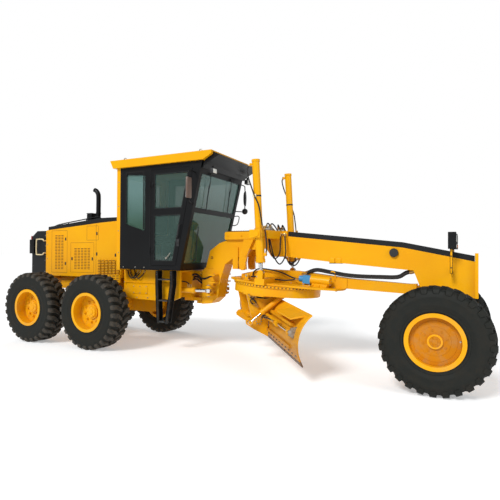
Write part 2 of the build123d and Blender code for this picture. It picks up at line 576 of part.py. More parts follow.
def front_frame():
    web = outline([
        (NECK_REAR_X, HITCH_LOWER_Z - 45), (2690, 840), (2820, 950), (2880, 1290), (2970, 1550), (3130, 1660), (3330, 1690),
        (3400, 1800), (3760, 1830), (3860, 1690), (4150, 1690), (5020, 1600), (FRONT_AXLE_X - 353, 1505),
        (FRONT_AXLE_X - 265, 1270), (FRONT_AXLE_X - 175, 1150), (FRONT_AXLE_X - 175, NOSE_BOTTOM),
        (FRONT_AXLE_X + 190, NOSE_BOTTOM), (FRONT_AXLE_X + 250, NOSE_PLATE_BOTTOM), (NOSE_FRONT_X - 30, NOSE_PLATE_BOTTOM),
        (NOSE_FRONT_X - 30, 1640), (COVER_FRONT_X, 1645), (FRONT_AXLE_X - 500, 1840), (5020, 1940), (COVER_REAR_X, 2030), (3400, 2030),
        (3070, 1990), (2860, 1930), (2660, 1790), (2575, 1490), (2525, 1440), (NECK_REAR_X, 1435)])
    frame = upright(web, (-NECK_Y, NECK_Y))
    frame += nose_plate()
    for z, top in ((HITCH_LOWER_Z - 45, HITCH_LOWER_Z - GAP), (HITCH_UPPER_Z - 60, HITCH_UPPER_Z - GAP)):
        lug = block((HITCH_X, NECK_REAR_X + 20), (-HITCH_LUG_RADIUS, HITCH_LUG_RADIUS), (z, top))
        frame += lug + rod((HITCH_X, 0, z), (HITCH_X, 0, top), HITCH_LUG_RADIUS)
    for z in (HITCH_LOWER_Z, HITCH_UPPER_Z):
        frame += rod((HITCH_X, 0, z - 10), (HITCH_X, 0, z + HITCH_LUG_WALL), HITCH_PIN_RADIUS)
    for z in (ARTIC_Z - ARTIC_FORK - EAR_WALL, ARTIC_Z + ARTIC_FORK):
        ear = block((ARTIC_FRONT_X - 50, ARTIC_FRONT_X + 50), (NECK_Y, ARTIC_FRONT_Y), (z, z + EAR_WALL))
        ear += rod((ARTIC_FRONT_X, ARTIC_FRONT_Y, z), (ARTIC_FRONT_X, ARTIC_FRONT_Y, z + EAR_WALL), 50)
        frame += pair(ear)
    frame += pair(artic_pin(ARTIC_FRONT_X, ARTIC_FRONT_Y, 15))
    frame += pair(block((3130, 3235), (NECK_Y, NECK_Y + 20), (1470, 1850)))
    frame += block((3130, 3235), (-NECK_Y, NECK_Y), (1470, 1700))
    for z in (1150, 1310, 1470):
        frame += pair(rod((2550, NECK_Y, z), (2760 - (z - 1150) / 8, NECK_Y, z), 9))
    frame += Pos(BALL_X, 0, BALL_Z) * Sphere(BALL_RADIUS)
    frame += rod((BALL_X, 0, BALL_Z), (FRONT_AXLE_X - 170, 0, BALL_Z), 25)
    return frame


def frame_cover():
    top = [(x, z + COVER_HEIGHT) for x, z in reversed(BEAM_LINE)]
    return Pos(0, 0, SEAT_FIT) * upright(outline(BEAM_LINE + top), (-NECK_Y, NECK_Y))


def lift_saddle():
    body = block((2990, 3640), (-NECK_Y - 60, NECK_Y + 60), (1975, 2125))
    body = fillet(body.edges().filter_by(Axis.X) + body.edges().filter_by(Axis.Y), 30)
    middle = LIFT_TRUNNION_X
    arm = flat([(middle - 275, NECK_Y), (middle - 215, LIFT_Y - 190), (middle - 135, LIFT_Y - 110),
                (middle + 95, LIFT_Y - 110), (middle + 175, NECK_Y)], (1985, 2115))
    saddle = body + pair(arm) + block((3600, middle + 175), (-NECK_Y, NECK_Y), (2031, 2115))
    yoke = block((LIFT_TRUNNION_X - 60, LIFT_TRUNNION_X + 60), (LIFT_Y - 115, LIFT_Y - 95), (1990, 2115))
    yoke += block((LIFT_TRUNNION_X - 60, LIFT_TRUNNION_X + 60), (LIFT_Y + 95, LIFT_Y + 115), (1990, 2115))
    yoke += block((LIFT_TRUNNION_X - 120, LIFT_TRUNNION_X - 90), (LIFT_Y - 115, LIFT_Y + 115), (1990, 2115))
    yoke += block((LIFT_TRUNNION_X - 120, LIFT_TRUNNION_X - 50), (LIFT_Y - 115, LIFT_Y - 95), (1990, 2115))
    yoke += block((LIFT_TRUNNION_X - 120, LIFT_TRUNNION_X - 50), (LIFT_Y + 95, LIFT_Y + 115), (1990, 2115))
    bore = rod((LIFT_TRUNNION_X, LIFT_Y - 130, LIFT_TRUNNION_Z), (LIFT_TRUNNION_X, LIFT_Y + 130, LIFT_TRUNNION_Z),
               TRUNNION_RADIUS + PIN_FIT)
    saddle += pair(yoke)
    plates = pair(block((3860, 4150), (NECK_Y + SEAT_FIT, NECK_Y + 25), (1700, 2120)))
    saddle += plates
    web = block((2900, 4300), (-NECK_Y - SEAT_FIT, NECK_Y + SEAT_FIT), (1500, 2030 + SEAT_FIT))
    return saddle - web - pair(bore)


# ==== cylinders ====


def ram_frame(pivot, eye, hinge):
    """Placement of a cylinder: Z from its pivot to the rod's eye, X along both hinge pins."""
    return Plane(origin=pivot, z_dir=Vector(*eye) - Vector(*pivot), x_dir=hinge)


def along(radius, start, end):
    """Round bar on a cylinder's own axis."""
    return Pos(0, 0, (start + end) / 2) * Cylinder(radius, end - start)


def across(radius, width, z=0):
    """Round bar along a cylinder's hinge pin."""
    return Pos(0, 0, z) * Rot(0, 90, 0) * Cylinder(radius, width)


def ram_rod(length, inside, radius, eye_radius, eye_bore, width):
    """Piston rod that ends inside the barrel, with its eye one length from the pivot."""
    piece = along(radius, length - inside, length - eye_radius - 20) + across(eye_radius, width, length)
    piece += along(min(radius, width / 2 - 1), length - eye_radius - 20, length - eye_bore - 1)
    return piece - across(eye_bore, width + 2, length)


def artic_ram():
    """Left articulation cylinder: barrel and rod."""
    pivot = (ARTIC_REAR_X, ARTIC_REAR_Y, ARTIC_Z)
    eye = (ARTIC_FRONT_X, ARTIC_FRONT_Y, ARTIC_Z)
    frame = ram_frame(pivot, eye, (0, 0, 1))
    length = (Vector(*eye) - Vector(*pivot)).length
    barrel = along(50, 45, 720) + across(55, 60)
    barrel -= across(25 + PIN_FIT, 62) + along(28 + SEAT_FIT, 150, 722)
    return frame * barrel, frame * ram_rod(length, 500, 28, 58, 41, 60)


def lift_eye(y):
    """Centre of a lift rod's eye on the drawbar."""
    return tuple((DRAWBAR_FRAME * Pos(-LIFT_EYE_BACK, y, LIFT_EYE_UP)).position)


def lift_ram():
    """Left blade lift cylinder: barrel with its trunnion, and rod."""
    pivot = (LIFT_TRUNNION_X, LIFT_Y, LIFT_TRUNNION_Z)
    eye = lift_eye(LIFT_Y)
    frame = ram_frame(pivot, eye, (0, 1, 0))
    length = (Vector(*eye) - Vector(*pivot)).length
    barrel = along(LIFT_BARREL_RADIUS, -LIFT_BARREL_ABOVE, LIFT_BARREL_BELOW) + along(75, -50, 50)
    barrel += across(TRUNNION_RADIUS, 224)
    barrel -= along(LIFT_ROD_RADIUS + SEAT_FIT, 60 - LIFT_BARREL_ABOVE, LIFT_BARREL_BELOW + 1)
    return frame * barrel, frame * ram_rod(length, 840, LIFT_ROD_RADIUS, 50, 33, 40)


def tip_ram():
    """Blade tip cylinder, right side only: barrel and rod."""
    pivot = (TIP_TOP_X, TIP_Y, TIP_TOP_Z)
    eye = (TIP_EYE_X, TIP_Y, TIP_EYE_Z)
    frame = ram_frame(pivot, eye, (0, 1, 0))
    length = (Vector(*eye) - Vector(*pivot)).length
    barrel = along(TIP_BARREL_RADIUS, 40, 490) + across(32, 40)
    barrel += along(25, 0, 41)
    barrel -= across(14 + PIN_FIT, 52) + along(17 + SEAT_FIT, 80, 491)
    place = CIRCLE_FRAME * frame.location
    return place * barrel, place * ram_rod(length, 400, 17, 36, 19, 40)


# ==== front axle ====


def front_axle():
    half = outline([
        (0, TYRE_RADIUS + 116), (220, TYRE_RADIUS + 96), (KINGPIN_Y - 105, LEAN_PIVOT_Z + 28),
        (KINGPIN_Y, LEAN_PIVOT_Z + 28), (KINGPIN_Y, LEAN_PIVOT_Z - 50), (KINGPIN_Y - 120, LEAN_PIVOT_Z - 50),
        (220, TYRE_RADIUS - 110), (0, TYRE_RADIUS - 110)])
    beam = upright(half, (-AXLE_HALF_DEPTH, AXLE_HALF_DEPTH))
    pivot = Pos(KINGPIN_Y, 0, LEAN_PIVOT_Z) * Rot(90, 0, 0)
    beam += pivot * Cylinder(50, 2 * AXLE_HALF_DEPTH) + pivot * Cylinder(20, 2 * AXLE_HALF_DEPTH + 66)
    axle = pair(Rot(0, 0, 90) * beam)
    axle += block((-AXLE_HALF_DEPTH, AXLE_HALF_DEPTH), (-100, 100), (TYRE_RADIUS, NOSE_BOTTOM))
    return Pos(FRONT_AXLE_X, 0, 0) * axle


def lean_bracket():
    """Left bracket between the axle's end and the kingpin, in the axle's frame."""
    y = KINGPIN_Y
    low = TYRE_RADIUS - 84
    high = TYRE_RADIUS + 86
    bracket = block((-102, 102), (y - 55, y + 28), (low, low + 22))
    for x in (-91, 91):
        bracket += block((x - 11, x + 11), (y - 40, y + 28), (LEAN_PIVOT_Z, low + 2))
        bracket += rod((x - 11, y, LEAN_PIVOT_Z), (x + 11, y, LEAN_PIVOT_Z), 44)
    bracket += block((-60, 60), (y - 78, y - 58), (low, high))
    bracket += block((-60, 60), (y - 78, y - 50), (low, low + 22))
    bracket += block((-60, 60), (y - 78, y + 45), (high - 24, high))
    bracket += block((50, 80), (y - 30, y + 30), (high - 24, LEAN_BAR_Z))
    bracket += rod((50, y, LEAN_BAR_Z), (80, y, LEAN_BAR_Z), 30) + rod((50, y, LEAN_BAR_Z), (122, y, LEAN_BAR_Z), 12)
    bracket -= rod((0, y, low - 10), (0, y, high + 20), KINGPIN_RADIUS + PIN_FIT)
    bracket -= rod((-110, y, LEAN_PIVOT_Z), (110, y, LEAN_PIVOT_Z), 20 + PIN_FIT)
    return Pos(FRONT_AXLE_X, 0, 0) * bracket


def knuckle():
    """Left knuckle: kingpin, spindle and steering arm."""
    y = KINGPIN_Y
    disc_face = FRONT_TRACK / 2 + RIM_WIDTH / 2 - FRONT_DISC_DEPTH - DISC_WALL
    arm_low = TYRE_RADIUS + 93
    arm_top = arm_low + ARM_HEIGHT
    piece = rod((0, y, TYRE_RADIUS - 56), (0, y, TYRE_RADIUS + 56), 50)
    piece += rod((0, y, TYRE_RADIUS - 82), (0, y, arm_top + 3), KINGPIN_RADIUS)
    piece += rod((0, y, TYRE_RADIUS), (0, disc_face - 15, TYRE_RADIUS), FRONT_SPINDLE_RADIUS)
    piece += rod((0, y, arm_low), (0, y, arm_top + 3), 40)
    piece += block((TIE_ROD_X, 0), (y - 22, y + 22), (arm_low, arm_top))
    piece += rod((TIE_ROD_X, y, arm_low), (TIE_ROD_X, y, arm_top), 30)
    return Pos(FRONT_AXLE_X, 0, 0) * piece


def tie_rod_bore():
    """Bore in the left steering arm for the pin of the tie rod's fork."""
    x = FRONT_AXLE_X + TIE_ROD_X
    return rod((x, KINGPIN_Y, TIE_ROD_Z - 70), (x, KINGPIN_Y, TIE_ROD_Z - 30), TIE_PIN_RADIUS + PIN_FIT)


def tie_rod_stud():
    """Ball stud on the right steering arm."""
    x = FRONT_AXLE_X + TIE_ROD_X
    stud = rod((x, -KINGPIN_Y, TIE_ROD_Z - 50), (x, -KINGPIN_Y, TIE_ROD_Z), 9)
    return stud + Pos(x, -KINGPIN_Y, TIE_ROD_Z) * Sphere(TIE_BALL_RADIUS)


def lean_bar():
    bar = rod((LEAN_BAR_X, -KINGPIN_Y, LEAN_BAR_Z), (LEAN_BAR_X, KINGPIN_Y, LEAN_BAR_Z), 20)
    for y in (-KINGPIN_Y, KINGPIN_Y):
        bar += rod((85, y, LEAN_BAR_Z), (115, y, LEAN_BAR_Z), 25)
    for y in (-KINGPIN_Y, KINGPIN_Y):
        bar -= rod((80, y, LEAN_BAR_Z), (120, y, LEAN_BAR_Z), 12 + PIN_FIT)
    return Pos(FRONT_AXLE_X, 0, 0) * bar


def tie_rod_end():
    """Fork on the left steering arm that lets the tie rod stay level."""
    y = KINGPIN_Y
    fork = rod((TIE_ROD_X, y, TIE_ROD_Z - 60), (TIE_ROD_X, y, TIE_ROD_Z - 27), TIE_PIN_RADIUS)
    fork += block((TIE_ROD_X - 42, TIE_ROD_X + 42), (y - 22, y + 22), (TIE_ROD_Z - 33, TIE_ROD_Z - 27))
    for x in (TIE_ROD_X - 36, TIE_ROD_X + 36):
        fork += block((x - 6, x + 6), (y - 22, y + 22), (TIE_ROD_Z - 33, TIE_ROD_Z + 18))
    fork += rod((TIE_ROD_X - 36, y, TIE_ROD_Z), (TIE_ROD_X + 36, y, TIE_ROD_Z), 9)
    return Pos(FRONT_AXLE_X, 0, 0) * fork


def tie_rod():
    y = KINGPIN_Y
    bar = rod((TIE_ROD_X, -y, TIE_ROD_Z), (TIE_ROD_X, y, TIE_ROD_Z), 17)
    bar += rod((TIE_ROD_X - 20, y, TIE_ROD_Z), (TIE_ROD_X + 20, y, TIE_ROD_Z), 23)
    bar -= rod((TIE_ROD_X - 30, y, TIE_ROD_Z), (TIE_ROD_X + 30, y, TIE_ROD_Z), 9 + PIN_FIT)
    bar += rod((TIE_ROD_X, -y, TIE_ROD_Z - 12), (TIE_ROD_X, -y, TIE_ROD_Z + 12), 34)
    bar -= rod((TIE_ROD_X, -y, TIE_ROD_Z - 18), (TIE_ROD_X, -y, TIE_ROD_Z + 18), TIE_BALL_RADIUS + PIN_FIT)
    return Pos(FRONT_AXLE_X, 0, 0) * bar


# ==== drawbar, circle and blade ====


def drawbar():
    mid = -CIRCLE_BACK
    low = -CIRCLE_DROP + CIRCLE_ABOVE + GAP
    top = low + PLATE_WALL
    spine = outline([
        (20, 66), (20, -70), (-100, -92), (mid + 1190, -118), (mid + 1110, low), (mid + 687, low), (mid + 687, top),
        (mid - 663, top), (mid - 663, top + 60), (mid - 300, 40), (mid - 124, 60), (mid + 345, 80), (mid + 1237, 43),
        (-88, 55)])
    bar = upright(spine, (-80, 80))
    edge = [(mid + 1140, 100), (mid + 1080, 300), (mid + 700, 530), (mid + 57, 700), (mid - 113, 700),
            (mid - 513, 560), (mid - 793, 220)]
    bar += flat(edge + [(x, -y) for x, y in reversed(edge)], (low, top))
    bar += block((mid - 90, mid + 70), (-LIFT_Y - 45, LIFT_Y + 45), (low, top + 70))
    ears = block((-LIFT_EYE_BACK - 45, -LIFT_EYE_BACK + 45), (LIFT_Y + 25, LIFT_Y + 43), (top, LIFT_EYE_UP))
    ears += rod((-LIFT_EYE_BACK, LIFT_Y + 25, LIFT_EYE_UP), (-LIFT_EYE_BACK, LIFT_Y + 43, LIFT_EYE_UP), 45)
    ears += mirror(ears, about=Plane.XZ.offset(-LIFT_Y))
    ears += rod((-LIFT_EYE_BACK, LIFT_Y - 30, LIFT_EYE_UP), (-LIFT_EYE_BACK, LIFT_Y + 30, LIFT_EYE_UP), 14)
    bar += pair(ears)
    cheek = outline([
        (mid + 950, low), (mid + 950, 30), (mid + 1190, 31), (mid + 1196, -107), (mid + 1094, -153), (mid + 1030, -184)])
    bar += pair(upright(cheek, (78, 98)))
    gearbox = mid + GEARBOX_REAR
    bar += rod((gearbox, GEARBOX_Y, top + 100), (gearbox + GEARBOX_LENGTH, GEARBOX_Y, top + 100), 70)
    bar += block((gearbox + 30, gearbox + GEARBOX_LENGTH - 30), (GEARBOX_Y - 50, GEARBOX_Y + 50), (top - 5, top + 80))
    shoe = block((CIRCLE_BORE - 70, CIRCLE_BORE - 5), (-60, 60), (-45, CIRCLE_ABOVE + GAP + 5))
    groove = Cylinder(CIRCLE_BORE + 1, 30 + 2 * SEAT_FIT) - Cylinder(CIRCLE_BORE - 20 - SEAT_FIT, 40)
    shoe -= Pos(0, 0, 5) * groove
    shoe &= Cylinder(CIRCLE_BORE - 1, 200)
    for angle in (-20, 60, 120, 200):
        bar += Pos(-CIRCLE_BACK, 0, -CIRCLE_DROP) * Rot(0, 0, angle) * shoe
    bar -= Sphere(BALL_RADIUS + PIN_FIT)
    return DRAWBAR_FRAME * bar


def circle_motor():
    top = -CIRCLE_DROP + CIRCLE_ABOVE + GAP + PLATE_WALL
    front = -CIRCLE_BACK + GEARBOX_REAR - SEAT_FIT
    motor = block((front - 120, front), (GEARBOX_Y - 65, GEARBOX_Y + 65), (top + 35, top + 165))
    motor += rod((front - 190, GEARBOX_Y, top + 100), (front - 120, GEARBOX_Y, top + 100), 50)
    return DRAWBAR_FRAME * motor


def circle():
    ring = Pos(0, 0, (CIRCLE_ABOVE + 20) / 2) * Cylinder(CIRCLE_RADIUS, CIRCLE_ABOVE - 20)
    ring += Pos(0, 0, (20 - CIRCLE_BELOW) / 2) * Cylinder(CIRCLE_RADIUS - 20, 20 + CIRCLE_BELOW)
    ring -= Cylinder(CIRCLE_BORE, 400)
    ring += Pos(0, 0, 5) * (Cylinder(CIRCLE_BORE + 1, 30) - Cylinder(CIRCLE_BORE - 20, 40))
    low = -CIRCLE_BELOW
    web = block((-650, RAIL_BACK_X - 15), (-600, 600), (low - 20, low))
    web &= Cylinder(CIRCLE_RADIUS - 25, 400)
    front = SHIFT_X - SHIFT_BARREL_RADIUS - 13
    arms = outline([
        (-615, low - 20), (-130, low - 20), (-150, low - 60), (-262, low - 189), (front, low - 264), (front, HINGE_Z + 110),
        (HINGE_X + 59, HINGE_Z), (HINGE_X - 30, HINGE_Z - 50), (HINGE_X - 100, HINGE_Z + 10)])
    arms = upright(arms, (ARM_Y, ARM_Y + ARM_WALL))
    arms += rod((HINGE_X, ARM_Y, HINGE_Z), (HINGE_X, ARM_Y + ARM_WALL, HINGE_Z), 60)
    arms -= rod((HINGE_X, ARM_Y - 1, HINGE_Z), (HINGE_X, ARM_Y + ARM_WALL + 1, HINGE_Z), HINGE_PIN_RADIUS + PIN_FIT)
    frame = ring + web + pair(arms)
    frame += block((TIP_TOP_X - 35, TIP_TOP_X + 35), (-CIRCLE_BORE - 3, TIP_Y - 47), (TIP_TOP_Z - 35, TIP_TOP_Z + 35))
    frame += rod((TIP_TOP_X, TIP_Y - 50, TIP_TOP_Z), (TIP_TOP_X, TIP_Y + 36, TIP_TOP_Z), 14)
    frame += rod((TIP_TOP_X, TIP_Y + 25, TIP_TOP_Z), (TIP_TOP_X, TIP_Y + 36, TIP_TOP_Z), 26)
    return CIRCLE_FRAME * frame


def blade_bracket():
    outer = ARM_Y + ARM_WALL + GAP + BRACKET_WALL
    back = RAIL_BACK_X - 8
    reach = RAIL_HEIGHT / 2 + GAP
    side = outline([
        (TIP_EYE_X - 45, TIP_EYE_Z - 7), (TIP_EYE_X - 5, TIP_EYE_Z + 45), (HINGE_X - 59, HINGE_Z + 50),
        (back - 60, UPPER_RAIL_Z + 45), (JAW_X, UPPER_RAIL_Z + 45), (JAW_X, UPPER_RAIL_Z + reach),
        (back, UPPER_RAIL_Z + reach), (back, UPPER_RAIL_Z - reach), (BLADE_BACK_X, UPPER_RAIL_Z - reach),
        (BLADE_BACK_X, LOWER_RAIL_Z + reach), (back, LOWER_RAIL_Z + reach), (back, LOWER_RAIL_Z - reach),
        (JAW_X, LOWER_RAIL_Z - reach), (JAW_X, LOWER_RAIL_Z - 120), (TIP_EYE_X + 87, TIP_EYE_Z - 119),
        (TIP_EYE_X - 33, TIP_EYE_Z - 50)])
    plate = upright(side, (outer - BRACKET_WALL, outer))
    bracket = pair(plate)
    bracket += rod((HINGE_X, -outer, HINGE_Z), (HINGE_X, outer, HINGE_Z), HINGE_PIN_RADIUS)
    bracket += rod((SHIFT_X, SHIFT_BARREL_END, SHIFT_Z), (SHIFT_X, outer, SHIFT_Z), SHIFT_BARREL_RADIUS)
    bracket -= rod((SHIFT_X, SHIFT_BARREL_END - 1, SHIFT_Z), (SHIFT_X, outer - 30, SHIFT_Z), SHIFT_ROD_RADIUS + SEAT_FIT)
    bracket += rod((TIP_EYE_X, -outer, TIP_EYE_Z), (TIP_EYE_X, TIP_Y - 36, TIP_EYE_Z), 12)
    bracket += rod((TIP_EYE_X, TIP_Y - 25, TIP_EYE_Z), (TIP_EYE_X, TIP_Y - 36, TIP_EYE_Z), 30)
    return CIRCLE_FRAME * bracket


def blade_arc():
    """Centre and radius of the moldboard's hollow front face, in the circle's frame."""
    lean = radians(BLADE_LEAN)
    radius = (BLADE_CHORD ** 2 / 4 + BLADE_SAGITTA ** 2) / (2 * BLADE_SAGITTA)
    middle_x = BLADE_TOP_X - sin(lean) * BLADE_CHORD / 2
    middle_z = BLADE_TOP_Z - cos(lean) * BLADE_CHORD / 2
    reach = radius - BLADE_SAGITTA
    return middle_x + reach * cos(lean), middle_z - reach * sin(lean), radius


def blade_point(angle, outward):
    """Point on the face's arc, or outward from it, at an angle from the middle of the blade, up positive."""
    centre_x, centre_z, radius = blade_arc()
    turn = radians(180 - BLADE_LEAN - angle)
    return centre_x + (radius + outward) * cos(turn), 0, centre_z + (radius + outward) * sin(turn)


def moldboard():
    half_angle = degrees(asin(BLADE_CHORD / 2 / blade_arc()[2]))
    front = ThreePointArc(*[blade_point(a, 0) for a in (half_angle, 0, -half_angle)])
    back = ThreePointArc(*[blade_point(a, BLADE_WALL) for a in (-half_angle, 0, half_angle)])
    section = make_face([front, Line(front @ 1, back @ 0), back, Line(back @ 1, front @ 0)])
    middle = BLADE_OFFSET
    blade = upright(section, (middle - BLADE_LENGTH / 2, middle + BLADE_LENGTH / 2))
    for z in (UPPER_RAIL_Z, LOWER_RAIL_Z):
        blade += block((RAIL_BACK_X, RAIL_BACK_X + 130), (middle - RAIL_HALF_LENGTH, middle + RAIL_HALF_LENGTH),
                       (z - RAIL_HEIGHT / 2, z + RAIL_HEIGHT / 2)) - hollow_front()
    shelf = outline([(-300, -265), (-300, -245), (-60, -190), (-60, -215)])
    shelf = upright(shelf, (SHELF_OUTER_Y, SHELF_INNER_Y))
    blade += shelf - hollow_front()
    blade += block((SHIFT_X - 32, SHIFT_X + 140), (SHIFT_LUG_Y - 30, SHIFT_LUG_Y + 30), (SHIFT_Z - 35, SHIFT_Z + 35)) - hollow_front()
    return CIRCLE_FRAME * (blade - rod((SHIFT_X, SHIFT_LUG_Y - 31, SHIFT_Z), (SHIFT_X, SHIFT_LUG_Y + 31, SHIFT_Z),
                                       SHIFT_ROD_RADIUS))


def hollow_front():
    """Round bar that fills the hollow in front of the moldboard."""
    x, z, radius = blade_arc()
    return rod((x, -3000, z), (x, 3000, z), radius + BLADE_WALL / 2)


def shift_rod():
    return CIRCLE_FRAME * rod((SHIFT_X, SHIFT_LUG_Y - 45, SHIFT_Z), (SHIFT_X, SHIFT_LUG_Y + 1600, SHIFT_Z), SHIFT_ROD_RADIUS)


def cutting_edge():
    """Edge plate below the moldboard, in line with the end of its curve."""
    half_angle = degrees(asin(BLADE_CHORD / 2 / blade_arc()[2]))
    x, _, z = blade_point(-half_angle, 0)
    tilt = BLADE_LEAN - half_angle
    edge = block((-EDGE_WALL, 0), (-BLADE_LENGTH / 2, BLADE_LENGTH / 2), (-EDGE_HEIGHT, 0))
    return CIRCLE_FRAME * Pos(x, BLADE_OFFSET, z) * Rot(0, tilt, 0) * edge


# ==== wheels ====


def tyre(track):
    """Tyre in its own frame: Z along the axle."""
    inner = RIM_WIDTH / 2 - FLANGE_WIDTH - SEAT_FIT
    bead = BEAD_RADIUS + SEAT_FIT
    half = [(bead, inner), (FLANGE_RADIUS + 6, inner), (FLANGE_RADIUS + 20, inner + 16), (470, TYRE_WIDTH / 2),
            (540, TYRE_WIDTH / 2), (TYRE_RADIUS - 45, TYRE_WIDTH / 2 - 16), (TYRE_RADIUS, TREAD_WIDTH / 2)]
    section = make_face(Polyline(*[(r, 0, y) for r, y in half + [(r, -y) for r, y in reversed(half)]], close=True))
    return revolve(section, Axis.Z)


def rim(disc_depth, hub_radius, hub_reach, spindle_radius, spindle_reach, cap_radius):
    """Rim in its own frame: Z along the axle, outboard up. Reaches are inboard, from the rim's middle."""
    half = RIM_WIDTH / 2
    barrel = Cylinder(BEAD_RADIUS, RIM_WIDTH)
    for z in (half - FLANGE_WIDTH / 2, FLANGE_WIDTH / 2 - half):
        barrel += Pos(0, 0, z) * Cylinder(FLANGE_RADIUS, FLANGE_WIDTH)
    barrel -= Cylinder(BEAD_RADIUS - BARREL_WALL, RIM_WIDTH + 2)
    disc_face = half - disc_depth
    wheel = barrel + along(BEAD_RADIUS - BARREL_WALL + 2, disc_face - DISC_WALL, disc_face)
    wheel += along(hub_radius, hub_reach, disc_face)
    wheel += along(cap_radius, disc_face, disc_face + 45)
    return wheel - along(spindle_radius + PIN_FIT, hub_reach - 1, spindle_reach + 8)


WHEELS = [                  # name, X, track, side (1 left), depth of disc, front wheel
    ("rear_left", -TANDEM_SPACING / 2, REAR_TRACK, 1, REAR_DISC_DEPTH, False),
    ("rear_right", -TANDEM_SPACING / 2, REAR_TRACK, -1, REAR_DISC_DEPTH, False),
    ("middle_left", TANDEM_SPACING / 2, REAR_TRACK, 1, REAR_DISC_DEPTH, False),
    ("middle_right", TANDEM_SPACING / 2, REAR_TRACK, -1, REAR_DISC_DEPTH, False),
    ("front_left", FRONT_AXLE_X, FRONT_TRACK, 1, FRONT_DISC_DEPTH, True),
    ("front_right", FRONT_AXLE_X, FRONT_TRACK, -1, FRONT_DISC_DEPTH, True),
]


def save_wheels():
    for name, x, track, side, depth, steered in WHEELS:
        middle = track / 2
        if steered:
            disc_back = RIM_WIDTH / 2 - depth - DISC_WALL
            piece = rim(depth, FRONT_HUB_RADIUS, KINGPIN_Y + 100 - middle, FRONT_SPINDLE_RADIUS, disc_back - 15,
                        FRONT_CAP_RADIUS)
        else:
            disc_back = RIM_WIDTH / 2 - depth - DISC_WALL
            piece = rim(depth, REAR_HUB_RADIUS, CASE_OUTER_Y + GAP + 1 - middle, REAR_SPINDLE_RADIUS, disc_back - 40, 105)
        place = Pos(x, side * middle, TYRE_RADIUS) * Rot(-90 * side, 0, 0)
        save(f"rim_{name}", place * piece)
        save(f"tyre_{name}", place * tyre(track))


def headlamps():
    x = FRONT_AXLE_X + 150
    post = rod((x, 330, 1500), (x, 330, 1820), 18) + block((x - 40, x + 60), (250, 410), (1820, 2050))
    post += block((x - 15, x + 15), (NECK_Y + SEAT_FIT, 348), (1480, 1510))
    return pair(post)


# ==== the whole machine ====

os.makedirs("parts", exist_ok=True)

save("rear_frame", rear_frame())
save("tandem_drive", tandem_drive())
save("engine_hood", engine_hood())
save("hood_cover", hood_cover())
save("radiator_guard", radiator_guard())
save("engine", engine())
save("exhaust_stack", exhaust_stack())
save("cab_frame", cab_frame())
save("cab_rear_wall", cab_rear_wall())
save("cab_roof", cab_roof())
save("cab_visor", cab_visor())
save("cab_glass", cab_glass())
save("cab_mirrors", mirrors())
save("seat_frame", seat_frame())
save("seat_cushions", seat_cushions())
save("control_console", control_console())
save("access_ladders", access_ladder())
save("front_frame", front_frame())
save("frame_cover", frame_cover())
save("lift_saddle", lift_saddle())
save("front_axle", front_axle())
save("headlamps", headlamps())
save("lean_bar", lean_bar())
save("tie_rod_end", tie_rod_end())
save("tie_rod", tie_rod())
save("drawbar", drawbar())
save("circle_motor", circle_motor())
save("circle", circle())
save("blade_bracket", blade_bracket())
save("moldboard", moldboard())
save("shift_rod", shift_rod())
save("cutting_edge", cutting_edge())

artic_barrel, artic_rod = artic_ram()
lift_barrel, lift_rod = lift_ram()
tip_barrel, tip_rod = tip_ram()
save("tip_barrel", tip_barrel)
save("tip_rod", tip_rod)

BOTH_SIDES = {              # pieces made for the left side, with a twin on the right
    "cab_door": cab_door(),
    "artic_barrel": artic_barrel,
    "artic_rod": artic_rod,
    "lift_barrel": lift_barrel,
    "lift_rod": lift_rod,
    "lean_bracket": lean_bracket(),
}
for name, shape in BOTH_SIDES.items():
    save(f"{name}_left", shape)
    save(f"{name}_right", mirror(shape, about=Plane.XZ))

save("knuckle_left", knuckle() - tie_rod_bore())
save("knuckle_right", mirror(knuckle(), about=Plane.XZ) + tie_rod_stud())
save_wheels()
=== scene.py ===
import json
import math

import bmesh
import bpy
from mathutils import Matrix, Vector


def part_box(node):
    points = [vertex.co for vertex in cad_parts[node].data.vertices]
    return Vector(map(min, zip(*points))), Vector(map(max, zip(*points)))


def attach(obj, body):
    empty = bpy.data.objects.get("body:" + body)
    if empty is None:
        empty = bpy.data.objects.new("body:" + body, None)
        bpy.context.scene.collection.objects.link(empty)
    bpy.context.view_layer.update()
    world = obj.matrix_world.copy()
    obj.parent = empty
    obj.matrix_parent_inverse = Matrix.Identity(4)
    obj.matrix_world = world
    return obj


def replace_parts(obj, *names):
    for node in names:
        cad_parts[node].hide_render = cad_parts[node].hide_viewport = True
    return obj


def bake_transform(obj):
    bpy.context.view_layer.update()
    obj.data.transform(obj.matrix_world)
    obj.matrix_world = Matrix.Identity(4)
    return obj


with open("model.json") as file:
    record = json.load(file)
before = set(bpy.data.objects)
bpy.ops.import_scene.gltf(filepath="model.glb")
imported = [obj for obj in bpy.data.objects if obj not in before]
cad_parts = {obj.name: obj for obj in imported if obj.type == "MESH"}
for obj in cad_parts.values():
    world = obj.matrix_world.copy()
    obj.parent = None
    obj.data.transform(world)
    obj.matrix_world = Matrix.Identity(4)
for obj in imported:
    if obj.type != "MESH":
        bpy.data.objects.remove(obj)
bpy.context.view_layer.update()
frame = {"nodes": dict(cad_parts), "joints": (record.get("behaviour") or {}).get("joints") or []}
nodes = frame["nodes"]
X, Y, Z = Vector((1, 0, 0)), Vector((0, 1, 0)), Vector((0, 0, 1))
SIDES = ((1, "left"), (-1, "right"))

# ---- studio ----
# A plain white cove with one large soft key light, a fill and an even sky. The camera stands at the right
# front corner of the machine, a little above half its height.

EYE = Vector((4.076, -7.278, 1.7225))
YAW = 0.4834
PITCH = 0.010
ROLL = 0.006
LENS = 32.84
SHIFT_X = 0.037

